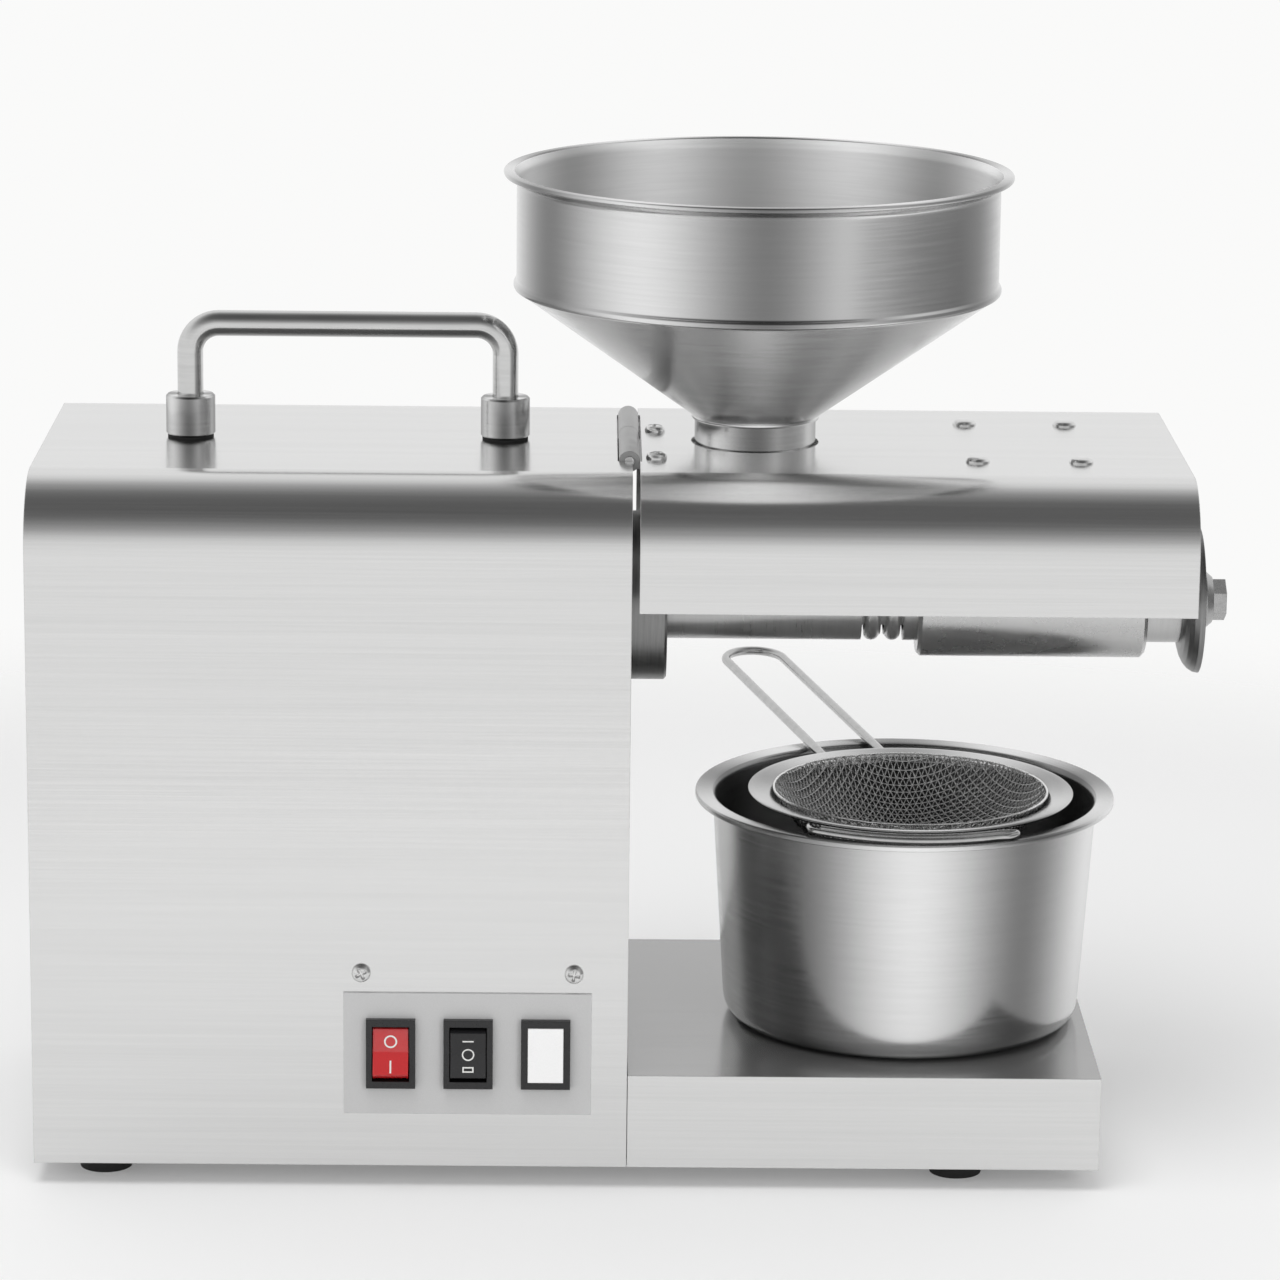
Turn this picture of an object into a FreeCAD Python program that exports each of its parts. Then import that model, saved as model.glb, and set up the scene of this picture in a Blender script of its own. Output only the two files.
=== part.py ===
"""Screw oil press for the kitchen.

A geared motor in a folded housing turns a press worm inside a slotted barrel. Seeds fall from the
hopper through a feed throat, the oil drips from the barrel's drain slots into a strainer on a pot,
and the cake leaves at the flared guard. A hinged cover hides the barrel.

Frame: +X along the press worm towards the cake outlet, -Y to the front, +Z up, millimetres.
The origin is under the middle of the whole machine, on the floor. Places are worked out first from
the housing's left wall (X), the middle of its depth (Y) and the floor (Z), and then moved there.
"""
import FreeCAD
import Part
import Sketcher
import math
import os

FOLDER = "parts"
DOC = FreeCAD.newDocument("ScrewOilPress")

# ---------------------------------------------------------------- driving dimensions, millimetres
SIZES = (
    # housing and base
    ("housing_length", 181.5, "housing, left to right"),
    ("housing_depth", 145.0, "housing, base and cover, front to back"),
    ("housing_top", 220.0, "height of the housing's top face"),
    ("floor_gap", 7.0, "height of the feet"),
    ("fold_radius", 22.0, "outer radius of the front and back folds"),
    ("sheet", 1.0, "thickness of the housing sheet"),
    ("base_length", 145.1, "base beyond the housing"),
    ("base_top", 36.4, "height of the base's top face"),
    ("base_sheet", 1.2, "thickness of the base's sheet"),
    ("plate_thickness", 2.0, "thickness of the steel base plate"),
    ("seam", 0.2, "gap where two pieces meet side by side"),
    ("flange_depth", 12.0, "width of folded-in flanges"),
    ("tab_size", 16.0, "side of the corner tabs behind the left end cover"),
    # feet
    ("foot_radius", 9.0, "top radius of a foot"),
    ("foot_taper", 1.0, "how much narrower a foot is at the floor"),
    ("foot_inset", 20.4, "foot centre from the ends of the base"),
    ("foot_reach", 53.0, "foot centre from the middle of the depth"),
    ("foot_right_inset", 42.7, "right feet from the right end of the base"),
    ("foot_screw_radius", 2.0, "shank of a foot screw"),
    ("foot_screw_head", 4.0, "head radius of a foot screw"),
    ("foot_recess", 3.0, "depth of the screw recess in a foot"),
    # screws
    ("screw_radius", 1.6, "shank of the small screws"),
    ("screw_head", 2.9, "head radius of the small screws"),
    ("screw_dome", 2.0, "height of a small screw head"),
    ("screw_grip", 6.0, "length of a small screw under its head"),
    ("end_screw_reach", 52.0, "end cover screws from the middle of the depth"),
    ("end_screw_low", 38.2, "height of the lower end cover screws"),
    ("end_screw_drop", 46.5, "upper end cover screws below the housing's top"),
    ("vent_length", 64.0, "length of a vent slot"),
    ("vent_height", 3.0, "height of a vent slot"),
    ("vent_pitch", 9.0, "spacing of the vent slots"),
    ("vent_count", 7, "vent slots in the end cover"),
    ("vent_low", 51.5, "height of the lowest vent slot"),
    # carrying handle
    ("handle_left", 44.6, "left leg of the handle"),
    ("handle_span", 97.6, "distance between the handle's legs"),
    ("handle_rod", 4.0, "radius of the handle rod"),
    ("handle_bend", 9.0, "bend radius of the handle's centre line"),
    ("handle_rise", 35.6, "handle's centre line above the housing"),
    ("ferrule_radius", 7.6, "radius of a handle ferrule"),
    ("ferrule_height", 12.6, "height of a handle ferrule"),
    ("ferrule_edge", 0.6, "chamfer of a ferrule"),
    ("gasket_height", 0.8, "thickness of the gasket under a ferrule"),
    ("gasket_inset", 0.5, "how much smaller the gasket is than the ferrule"),
    ("handle_bolt", 2.0, "shank radius of a handle bolt"),
    ("handle_bolt_head", 4.2, "head radius of a handle bolt"),
    ("handle_bolt_grip", 12.0, "how far a handle bolt reaches into the leg"),
    ("loose", 0.1, "play of a piece in its hole"),
    ("running", 0.05, "radial play of a turning shaft"),
    ("apart", 0.3, "gap between pieces that move past each other"),
    # switch panel
    ("panel_inset", 11.0, "switch panel from the housing's right end"),
    ("panel_length", 75.5, "length of the switch panel"),
    ("panel_low", 24.0, "lower edge of the switch panel"),
    ("panel_height", 38.4, "height of the switch panel"),
    ("panel_sheet", 0.8, "thickness of the switch panel"),
    ("bezel_width", 15.0, "width of a switch bezel"),
    ("bezel_height", 21.8, "height of a switch bezel"),
    ("bezel_proud", 2.0, "how far a bezel stands out"),
    ("switch_first", 14.4, "first switch from the panel's left edge"),
    ("switch_pitch", 23.6, "spacing of the switches"),
    ("switch_level", 43.5, "height of the switches' centre"),
    ("switch_body_width", 13.0, "width of a switch body behind the panel"),
    ("switch_body_height", 19.2, "height of a switch body behind the panel"),
    ("switch_body_depth", 21.0, "depth of a switch body behind the housing's front"),
    ("rocker_radius", 8.4, "radius of a rocker about its pin"),
    ("rocker_width", 10.8, "width of a rocker"),
    ("rocker_throw", 12.0, "angle of a rocker each side of its middle, degrees"),
    ("rocker_dish", 9.0, "slope of each half of a rocker's face, degrees"),
    ("rocker_face", 3.4, "middle of a rocker's face in front of its pin"),
    ("rocker_back", 3.6, "back of a rocker behind its pin"),
    ("rocker_pin", 1.1, "radius of a rocker's pin"),
    ("rocker_pin_reach", 0.6, "how far the pin stands out each side"),
    ("rocker_pin_depth", 1.0, "rocker pin behind the housing's front face"),
    ("terminal_width", 6.3, "width of a blade terminal"),
    ("terminal_sheet", 0.8, "thickness of a blade terminal"),
    ("terminal_length", 7.0, "length of a blade terminal"),
    ("terminal_pitch", 7.0, "spacing of the blade terminals"),
    ("lens_width", 10.8, "width of the lamp's window"),
    ("lens_height", 17.2, "height of the lamp's window"),
    ("lens_depth", 6.0, "depth of the lamp's lens"),
    ("board_screw_inset", 5.4, "board screws from the panel's ends"),
    ("board_screw_level", 68.6, "height of the board screws"),
    # control board
    ("standoff_length", 5.0, "length of a board standoff"),
    ("standoff_radius", 3.2, "radius of a board standoff"),
    ("board_sheet", 1.6, "thickness of the control board"),
    ("board_height", 52.0, "height of the control board"),
    ("board_margin", 5.0, "board edge beyond its screws"),
    ("relay_side", 15.0, "side of the relay"),
    ("relay_depth", 12.0, "how far the relay stands off the board"),
    ("capacitor_radius", 5.0, "radius of the capacitor"),
    ("terminal_block", 30.0, "length of the terminal block"),
    # power inlet
    ("inlet_x", 42.0, "power inlet from the housing's left wall"),
    ("inlet_level", 44.0, "height of the power inlet"),
    ("inlet_width", 27.0, "width of the inlet's body"),
    ("inlet_height", 20.0, "height of the inlet's body"),
    ("inlet_depth", 20.0, "depth of the inlet's body"),
    ("inlet_wall", 1.6, "wall of the inlet's shroud"),
    ("inlet_flange_margin", 4.0, "inlet's flange beyond its screws"),
    ("inlet_flange_height", 22.6, "height of the inlet's flange"),
    ("inlet_flange_sheet", 2.0, "thickness of the inlet's flange"),
    ("inlet_screw_pitch", 40.0, "spacing of the inlet's screws"),
    ("inlet_pin_pitch", 7.0, "spacing of the inlet's contacts"),
    ("inlet_pin_width", 2.0, "thickness of an inlet contact"),
    ("inlet_pin_height", 4.0, "height of an inlet contact"),
    ("inlet_pin_length", 13.0, "length of an inlet contact"),
    ("inlet_earth_rise", 3.0, "earth contact below the other two"),
    # press axis, seat, barrel
    ("press_drop", 49.4, "press worm's axis below the housing's top"),
    ("seat_radius", 26.4, "radius of the barrel seat"),
    ("seat_length", 11.4, "length of the barrel seat"),
    ("seat_floor", 2.0, "thickness of the seat behind the barrel"),
    ("seat_edge", 0.8, "chamfer of the seat"),
    ("barrel_radius", 13.5, "outer radius of the barrel"),
    ("barrel_bore", 10.5, "bore of the barrel"),
    ("feed_length", 60.8, "plain feed part of the barrel outside the seat"),
    ("drain_pitch", 6.6, "spacing of the drain ribs"),
    ("drain_count", 2, "rounded drain ribs"),
    ("drain_rib", 2.6, "radius of a drain rib's rounded edge"),
    ("drain_wall", 1.3, "wall left between the drain ribs"),
    ("drain_slot", 1.1, "width of a drain slot"),
    ("drain_land", 17.4, "length of the drain part of the barrel"),
    ("sleeve_radius", 18.3, "outer radius of the heater sleeve"),
    ("sleeve_length", 71.2, "length of the heater sleeve"),
    ("sleeve_edge", 1.2, "chamfer of the heater sleeve"),
    ("nose_length", 11.0, "barrel beyond the heater sleeve"),
    ("guard_length", 6.2, "length of the cake guard"),
    ("guard_radius", 23.0, "rim radius of the cake guard"),
    ("guard_wall", 1.4, "wall of the cake guard"),
    # worm
    ("worm_play", 0.3, "flight to barrel bore"),
    ("worm_root_start", 6.0, "root radius at the feed end"),
    ("worm_root_end", 8.6, "root radius at the outlet end"),
    ("worm_pitch", 13.0, "pitch of the worm's flight"),
    ("worm_flight", 2.2, "thickness of the flight at its edge"),
    ("worm_flight_foot", 4.0, "thickness of the flight at its foot"),
    ("worm_turns", 10.5, "turns of the flight"),
    ("worm_lead_in", 7.0, "plain root before the flight"),
    ("worm_tail", 4.0, "radius of the worm's tail"),
    ("worm_cone", 9.7, "radius of the pressing cone"),
    ("worm_tang", 5.2, "corner radius of the hexagonal tang"),
    ("tang_length", 12.0, "length of the hexagonal tang"),
    ("tail_nut_gap", 0.6, "tail nut beyond the cake guard's rim"),
    ("tail_flange", 9.1, "radius of the tail nut's flange"),
    ("tail_flange_thickness", 3.6, "thickness of the tail nut's flange"),
    ("tail_hex", 11.4, "tail nut across its flats"),
    ("tail_hex_length", 4.2, "length of the tail nut's hexagon"),
    # feed throat and hopper
    ("hopper_out", 38.3, "hopper's axis beyond the housing"),
    ("hopper_sheet", 0.9, "thickness of the hopper's sheet"),
    ("hopper_rim", 78.4, "rim radius of the hopper"),
    ("hopper_radius", 74.4, "radius of the hopper's straight wall"),
    ("hopper_rise", 84.6, "hopper's rim above the housing's top"),
    ("hopper_wall", 36.6, "height of the hopper's straight wall"),
    ("hopper_bead", 1.0, "how far the seam bead stands out"),
    ("hopper_bead_height", 2.4, "height of the seam bead"),
    ("neck_radius", 18.8, "outer radius of the hopper's neck"),
    ("neck_top", 8.0, "height of the neck's top above the housing's top"),
    ("neck_reach", 15.0, "how far the neck reaches below the housing's top"),
    ("neck_hole_gap", 1.0, "gap round the neck in the cover"),
    ("throat_lip", 7.4, "how far the throat's cup rises round the neck"),
    ("throat_wall", 1.6, "wall of the feed throat"),
    ("throat_bore", 9.0, "bore of the throat where it meets the barrel"),
    ("throat_foot", 12.0, "outer radius of the throat on the barrel"),
    # cover and hinge
    ("cover_gap", 2.3, "gap between housing and cover"),
    ("cover_length", 167.3, "length of the cover"),
    ("cover_depth", 38.8, "cover's lower edge below its top"),
    ("cover_notch_gap", 1.2, "gap between the cover's end and the barrel"),
    ("hinge_radius", 3.2, "radius of the hinge knuckles"),
    ("hinge_length", 74.0, "length of the hinge"),
    ("hinge_leaf", 1.4, "thickness of a hinge leaf"),
    ("hinge_leaf_width", 15.0, "width of a hinge leaf from the pin"),
    ("hinge_pin", 1.5, "radius of the hinge pin"),
    ("hinge_drop", 0.1, "hinge axis below the housing's top face"),
    ("hinge_offset", 0.9, "hinge axis left of the housing's right face"),
    ("hinge_middle", 3.0, "middle of the hinge from the middle of the depth"),
    ("hinge_split", 6.0, "joint between the two knuckles, from the middle of the depth"),
    ("hinge_screw_front", -29.0, "front hinge screw"),
    ("hinge_screw_rear", 14.5, "rear hinge screw"),
    ("hinge_screw_out", 8.3, "hinge screws right of the hinge axis"),
    ("hinge_screw_head", 3.2, "head radius of a hinge screw"),
    ("rivet_inset", 32.4, "last rivet column from the cover's right edge"),
    ("rivet_pitch", 31.7, "spacing of the rivet columns"),
    ("rivet_reach", 29.8, "rivets from the middle of the depth"),
    ("rivet_radius", 1.9, "shank radius of a rivet"),
    ("rivet_head", 3.7, "head radius of a rivet"),
    ("rivet_dome", 1.7, "height of a rivet head"),
    ("shield_sheet", 0.8, "thickness of the heat shield"),
    ("shield_drop", 3.0, "air gap over the heat shield"),
    ("shield_margin", 9.0, "heat shield beyond its rivets"),
    # pot and strainer
    ("pot_out", 87.1, "pot's axis beyond the housing"),
    ("pot_y", -3.8, "pot's axis from the middle of the depth"),
    ("pot_height", 72.3, "height of the pot"),
    ("pot_rim", 65.9, "rim radius of the pot"),
    ("pot_top_radius", 60.6, "outer radius of the pot's wall at the top"),
    ("pot_foot_radius", 55.8, "outer radius of the pot's wall at the bottom"),
    ("pot_sheet", 1.0, "thickness of the pot's sheet"),
    ("pot_corner", 7.0, "outer corner radius of the pot's bottom"),
    ("pot_rim_drop", 1.6, "how far the rim's edge is turned down"),
    ("strainer_out", 88.5, "strainer's axis beyond the housing"),
    ("strainer_y", -11.5, "strainer's axis from the middle of the depth"),
    ("strainer_rim", 51.0, "outer radius of the strainer's rim"),
    ("strainer_mouth", 43.0, "inner radius of the strainer's rim"),
    ("strainer_sheet", 1.0, "thickness of the strainer's rim"),
    ("strainer_depth", 26.0, "depth of the mesh bowl"),
    ("mesh_sheet", 0.7, "thickness of the mesh"),
    ("wire_radius", 1.45, "radius of the strainer's handle wire"),
    ("wire_spread", 20.0, "distance between the handle's two wires"),
    ("wire_reach", 161.0, "tip of the handle from the strainer's axis"),
    ("wire_start", 44.6, "root of the wires from the strainer's axis"),
    ("wire_azimuth", 107.2, "direction of the handle, degrees from +X"),
    ("wire_rise", 5.0, "rise of the handle, degrees"),
    ("lug_width", 23.0, "width of the strainer's front lug"),
    ("lug_reach", 57.5, "outer end of the lug from the strainer's axis"),
    ("lug_azimuth", -78.0, "direction of the lug, degrees from +X"),
    # gearbox
    ("front_plate", 6.0, "thickness of the gearbox's front plate"),
    ("rear_plate", 4.0, "thickness of the gearbox's rear plate"),
    ("gearbox_length", 42.0, "space between the two plates"),
    ("plate_reach", 43.0, "half width of the gearbox plates"),
    ("plate_drop", 7.0, "top of the gearbox plates below the housing's top"),
    ("pillar_radius", 4.0, "radius of a gearbox pillar"),
    ("pillar_inset", 7.0, "pillars from the plates' edges"),
    ("module_slow", 1.25, "module of the slow gear pair"),
    ("module_fast", 1.0, "module of the fast gear pair"),
    ("teeth_output", 64, "teeth of the output gear"),
    ("teeth_idler_pinion", 16, "teeth of the idler pinion"),
    ("teeth_idler_gear", 70, "teeth of the idler gear"),
    ("teeth_motor", 14, "teeth of the motor pinion"),
    ("slow_face", 10.0, "face width of the slow gears"),
    ("fast_face", 8.0, "face width of the fast gears"),
    ("gear_gap", 3.0, "space between gears and plates"),
    ("output_shaft", 8.0, "radius of the output shaft"),
    ("idler_shaft", 5.0, "radius of the idler shaft"),
    ("motor_shaft", 4.0, "radius of the motor shaft"),
    ("bearing_ring", 7.0, "radial width of a bearing"),
    # motor
    ("motor_radius", 33.0, "radius of the motor case"),
    ("motor_length", 86.0, "length of the motor case"),
    ("motor_wall", 3.0, "wall of the motor case"),
    ("motor_stator", 6.0, "radial width of the stator"),
    ("motor_air_gap", 0.6, "gap between stator and rotor"),
    ("stator_margin", 14.0, "stator from the case's ends"),
    ("fan_radius", 29.0, "radius of the cooling fan"),
    ("fan_width", 9.0, "width of the cooling fan"),
    ("fan_blades", 8, "blades of the cooling fan"),
    ("fan_blade", 1.6, "thickness of a fan blade"),
    ("fan_hub", 9.0, "radius of the fan's hub"),
    ("fan_gap", 3.0, "gap between fan and motor case"),
)


class Size:
    """A size that knows its number and the sheet expression that gives it."""

    def __init__(self, number, text):
        self.number = float(number)
        self.text = text

    def __add__(self, other):
        other = as_size(other)
        return Size(self.number + other.number, f"({self.text} + {other.text})")

    def __sub__(self, other):
        other = as_size(other)
        return Size(self.number - other.number, f"({self.text} - {other.text})")

    def __mul__(self, other):
        other = as_size(other)
        return Size(self.number * other.number, f"({self.text} * {other.text})")

    def __truediv__(self, other):
        other = as_size(other)
        return Size(self.number / other.number, f"({self.text} / {other.text})")

    def __radd__(self, other):
        return as_size(other) + self

    def __rsub__(self, other):
        return as_size(other) - self

    def __rmul__(self, other):
        return as_size(other) * self

    def __neg__(self):
        return Size(0, "0") - self


def as_size(value):
    """Return value as a Size, so that plain numbers can join an expression."""
    if isinstance(value, Size):
        return value
    return Size(value, repr(float(value)))


def root(value):
    """Square root of a size."""
    return Size(math.sqrt(value.number), f"sqrt({value.text})")


def cosine(angle):
    """Cosine of a size in degrees."""
    return Size(math.cos(math.radians(angle.number)), f"cos({angle.text} * 1 deg)")


def sine(angle):
    """Sine of a size in degrees."""
    return Size(math.sin(math.radians(angle.number)), f"sin({angle.text} * 1 deg)")


class Sheet:
    """Every driving dimension, by name, as kept in the document's spreadsheet."""


def make_sheet():
    """Write the driving dimensions to a spreadsheet and return them by name."""
    cells = DOC.addObject("Spreadsheet::Sheet", "Sizes")
    sheet = Sheet()
    for row, (name, number, meaning) in enumerate(SIZES, start=1):
        cells.set(f"A{row}", meaning)
        cells.set(f"B{row}", str(number))
        cells.setAlias(f"B{row}", name)
        setattr(sheet, name, Size(number, f"Sizes.{name}"))
    DOC.recompute()
    return sheet


S = make_sheet()

# ------------------------------------------------------------------------------- derived places
HALF = S.housing_depth / 2
INNER_HALF = HALF - S.sheet
PLATE_TOP = S.floor_gap + S.plate_thickness
END_FACE = S.housing_length
BASE_END = END_FACE + S.base_length
HOPPER_X = END_FACE + S.hopper_out
HOPPER_TOP = S.housing_top + S.hopper_rise
POT_X = END_FACE + S.pot_out
STRAINER_X = END_FACE + S.strainer_out
PANEL_LEFT = END_FACE - S.panel_inset - S.panel_length
PRESS_LEVEL = S.housing_top - S.press_drop
COVER_SKIRT = S.housing_top - S.cover_depth
GEARBOX_TOP = S.housing_top - S.plate_drop
END_SCREW_HIGH = S.housing_top - S.end_screw_drop
SEAT_END = END_FACE + S.seat_length
DRAIN_START = SEAT_END + S.feed_length
SLEEVE_START = DRAIN_START + S.drain_land
SLEEVE_END = SLEEVE_START + S.sleeve_length
BARREL_END = SLEEVE_END + S.nose_length
GUARD_END = BARREL_END + S.guard_length
NUT_START = GUARD_END + S.tail_nut_gap
NUT_END = NUT_START + S.tail_flange_thickness + S.tail_hex_length
COVER_START = END_FACE + S.cover_gap
HINGE_X = END_FACE - S.hinge_offset
HINGE_Z = S.housing_top - S.hinge_drop
HINGE_FRONT = S.hinge_middle - S.hinge_length / 2
HINGE_REAR = S.hinge_middle + S.hinge_length / 2
PANEL_FACE = -HALF - S.panel_sheet
ROCKER_PIN_Y = -HALF + S.rocker_pin_depth
FRONT_PLATE_X = END_FACE - S.sheet - S.front_plate
REAR_PLATE_X = FRONT_PLATE_X - S.gearbox_length - S.rear_plate
IDLER_Z = PRESS_LEVEL - (S.teeth_output + S.teeth_idler_pinion) * S.module_slow / 2
MOTOR_Z = IDLER_Z - (S.teeth_idler_gear + S.teeth_motor) * S.module_fast / 2
MOTOR_START = REAR_PLATE_X - S.motor_length
FAST_X = REAR_PLATE_X + S.rear_plate + S.gear_gap
SLOW_X = FRONT_PLATE_X - S.gear_gap - S.slow_face
POT_FLOOR = S.base_top + S.apart
POT_TOP = POT_FLOOR + S.pot_height
WIRE_SLOPE = sine(S.wire_rise) / cosine(S.wire_rise)
POT_EDGE = S.pot_top_radius + S.pot_y - S.strainer_y
STRAINER_TOP = (POT_TOP + S.apart + 2 * S.wire_radius + S.strainer_sheet
                - (POT_EDGE - S.strainer_rim) * WIRE_SLOPE)
WIRE_ROOT = (STRAINER_TOP - S.strainer_sheet - S.wire_radius
             - (S.strainer_rim - S.wire_start) * WIRE_SLOPE)
NECK_LOW = S.housing_top - S.neck_reach
NECK_HIGH = S.housing_top + S.neck_top

# the middle of the whole machine: screw heads to tail nut, hopper rim to strainer handle
ORIGIN_X = (NUT_END - S.screw_dome) / 2
HANDLE_BEND_Y = S.strainer_y + ((S.wire_reach - S.wire_spread / 2) * cosine(S.wire_rise)
                               * sine(S.wire_azimuth))
ORIGIN_Y = (HANDLE_BEND_Y + S.wire_spread / 2 + S.wire_radius - S.hopper_rim) / 2

NODES = []


# ------------------------------------------------------------------------------- building blocks
def bind(item, prop, value):
    """Tie a property to the sheet, or set it when it is a plain number."""
    if isinstance(value, Size):
        item.setExpression(prop, value.text)
    else:
        setattr(item, prop, value)


def bind_base(item, x, y, z):
    """Tie the three coordinates of an object's placement to the sheet."""
    for letter, value in (("x", x), ("y", y), ("z", z)):
        item.setExpression(f"Placement.Base.{letter}", as_size(value).text)


# how a shape that runs along +Z is turned to run along each direction
TURN = {
    "+X": FreeCAD.Rotation(FreeCAD.Vector(0, 1, 0), 90),
    "-X": FreeCAD.Rotation(FreeCAD.Vector(0, 1, 0), -90),
    "+Y": FreeCAD.Rotation(FreeCAD.Vector(1, 0, 0), -90),
    "-Y": FreeCAD.Rotation(FreeCAD.Vector(1, 0, 0), 90),
    "+Z": FreeCAD.Rotation(),
    "-Z": FreeCAD.Rotation(FreeCAD.Vector(1, 0, 0), 180),
}
OPPOSITE = {"+X": "-X", "-X": "+X", "+Y": "-Y", "-Y": "+Y", "+Z": "-Z", "-Z": "+Z"}


def box(length, width, height, x, y, z, turn_x=0):
    """Box from its low corner, turned about X at that corner when asked."""
    item = DOC.addObject("Part::Box", "Block")
    bind(item, "Length", length)
    bind(item, "Width", width)
    bind(item, "Height", height)
    item.Placement.Rotation = FreeCAD.Rotation(FreeCAD.Vector(1, 0, 0), as_size(turn_x).number)
    bind_base(item, x, y, z)
    return item


def rod(radius, length, x, y, z, axis="+Z"):
    """Cylinder that starts at a point and runs along an axis."""
    item = DOC.addObject("Part::Cylinder", "Rod")
    bind(item, "Radius", radius)
    bind(item, "Height", length)
    item.Placement.Rotation = TURN[axis]
    bind_base(item, x, y, z)
    return item


def cone(radius_start, radius_end, length, x, y, z, axis="+Z"):
    """Cone that starts at a point and runs along an axis."""
    item = DOC.addObject("Part::Cone", "Taper")
    bind(item, "Radius1", radius_start)
    bind(item, "Radius2", radius_end)
    bind(item, "Height", length)
    item.Placement.Rotation = TURN[axis]
    bind_base(item, x, y, z)
    return item


def hexagon(corner_radius, length, x, y, z, axis="+X"):
    """Hexagonal prism that starts at a point and runs along an axis."""
    item = DOC.addObject("Part::Prism", "Hexagon")
    item.Polygon = 6
    bind(item, "Circumradius", corner_radius)
    bind(item, "Height", length)
    item.Placement.Rotation = TURN[axis]
    bind_base(item, x, y, z)
    return item


def fuse(items):
    """One solid from several that touch or overlap."""
    item = DOC.addObject("Part::MultiFuse", "Joined")
    item.Shapes = items
    item.Refine = True
    return item


def cut(base, tools):
    """Base without the tools."""
    item = DOC.addObject("Part::Cut", "Trimmed")
    item.Base = base
    item.Tool = tools[0] if len(tools) == 1 else fuse(tools)
    item.Refine = True
    return item


def group(items):
    """Several separate solids that share one node."""
    item = DOC.addObject("Part::Compound", "Set")
    item.Links = items
    return item


def origin_feature(body, role):
    """One of a body's own origin planes or axes."""
    return [item for item in body.Origin.OriginFeatures if item.Role == role][0]


def outline(body, plane, corners):
    """Closed straight-sided sketch whose corners are tied to the sheet."""
    sketch = body.newObject("Sketcher::SketchObject", "Outline")
    sketch.AttachmentSupport = [(origin_feature(body, plane), "")]
    sketch.MapMode = "FlatFace"
    corners = [(as_size(u), as_size(v)) for u, v in corners]
    points = [FreeCAD.Vector(u.number, v.number, 0) for u, v in corners]
    count = len(points)
    for index in range(count):
        sketch.addGeometry(Part.LineSegment(points[index], points[(index + 1) % count]))
    for index in range(count):
        sketch.addConstraint(Sketcher.Constraint("Coincident", index, 2, (index + 1) % count, 1))
    for index, (u, v) in enumerate(corners):
        for kind, value in (("DistanceX", u), ("DistanceY", v)):
            number = sketch.addConstraint(
                Sketcher.Constraint(kind, -1, 1, index, 1, value.number))
            sketch.setExpression(f"Constraints[{number}]", value.text)
    return sketch


def turned(corners, axis="V_Axis"):
    """Body turned from a profile: (radius, height) about Z, or (x, radius) about X."""
    body = DOC.addObject("PartDesign::Body", "Turned")
    sketch = outline(body, "XZ_Plane", corners)
    feature = body.newObject("PartDesign::Revolution", "Revolution")
    feature.Profile = sketch
    feature.ReferenceAxis = (sketch, [axis])
    feature.Angle = 360
    DOC.recompute()
    return body


def folded(corners, length):
    """Body of constant section in the YZ plane, running from X = 0 to its length."""
    body = DOC.addObject("PartDesign::Body", "Folded")
    sketch = outline(body, "YZ_Plane", corners)
    feature = body.newObject("PartDesign::Pad", "Pad")
    feature.Profile = sketch
    bind(feature, "Length", length)
    DOC.recompute()
    return body


def round_edges(body, radius, test):
    """Round the edges of a body whose middle point passes a test."""
    names = []
    for index, edge in enumerate(body.Tip.Shape.Edges, start=1):
        middle = edge.valueAt((edge.FirstParameter + edge.LastParameter) / 2)
        if test(edge, middle):
            names.append(f"Edge{index}")
    base = body.Tip
    feature = body.newObject("PartDesign::Fillet", "Fillet")
    feature.Base = (base, names)
    bind(feature, "Radius", radius)
    DOC.recompute()


def along_x(edge):
    """True for a straight edge that runs along X."""
    start = edge.valueAt(edge.FirstParameter)
    end = edge.valueAt(edge.LastParameter)
    return abs(end.x - start.x) > 0.3 and abs(end.y - start.y) < 1e-6 and abs(end.z - start.z) < 1e-6


def near(value, size):
    """True when a number equals a size."""
    return abs(value - as_size(size).number) < 0.01


def shaped(shape):
    """Wrap a shape that has no feature of its own kind."""
    item = DOC.addObject("Part::Feature", "Shaped")
    item.Shape = shape
    return item


def finish(item, label, x=0, y=0, z=0, turn=None):
    """Name a sub-part and put it in its place in the machine."""
    item.Label = label
    item.Placement = FreeCAD.Placement(FreeCAD.Vector(0, 0, 0), turn or FreeCAD.Rotation())
    bind_base(item, x - ORIGIN_X, y - ORIGIN_Y, as_size(z))
    NODES.append(item)
    return item


def offset(point, axis, distance):
    """Move a point along a signed axis."""
    sign = 1 if axis[0] == "+" else -1
    return tuple(
        as_size(value) + sign * distance if letter == axis[1] else value
        for letter, value in zip("XYZ", point))


def fastener(head, dome, shank, grip, point, axis):
    """Screw or rivet: a low domed head before the point, its shank behind it along the axis."""
    rim = dome * 0.4
    back = OPPOSITE[axis]
    return fuse([
        rod(shank, grip, *point, axis),
        rod(head, rim, *point, back),
        cone(head, head * 0.6, dome - rim, *offset(point, back, rim), back),
    ])


def quarter_bend(bend, radius, x, y, z, start_angle):
    """Quarter of a ring in the XZ plane, from start_angle on, about the point."""
    item = DOC.addObject("Part::Torus", "Bend")
    bind(item, "Radius1", bend)
    bind(item, "Radius2", radius)
    item.Angle3 = 90
    item.Placement.Rotation = FreeCAD.Rotation(FreeCAD.Vector(1, 0, 0), 90).multiply(
        FreeCAD.Rotation(FreeCAD.Vector(0, 0, 1), start_angle))
    bind_base(item, x, y, z)
    return item


def arch(half, low, top):
    """Corners of a closed wall under the folds, in the YZ plane."""
    return [(-half, low), (-half, top), (half, top), (half, low)]


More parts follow.
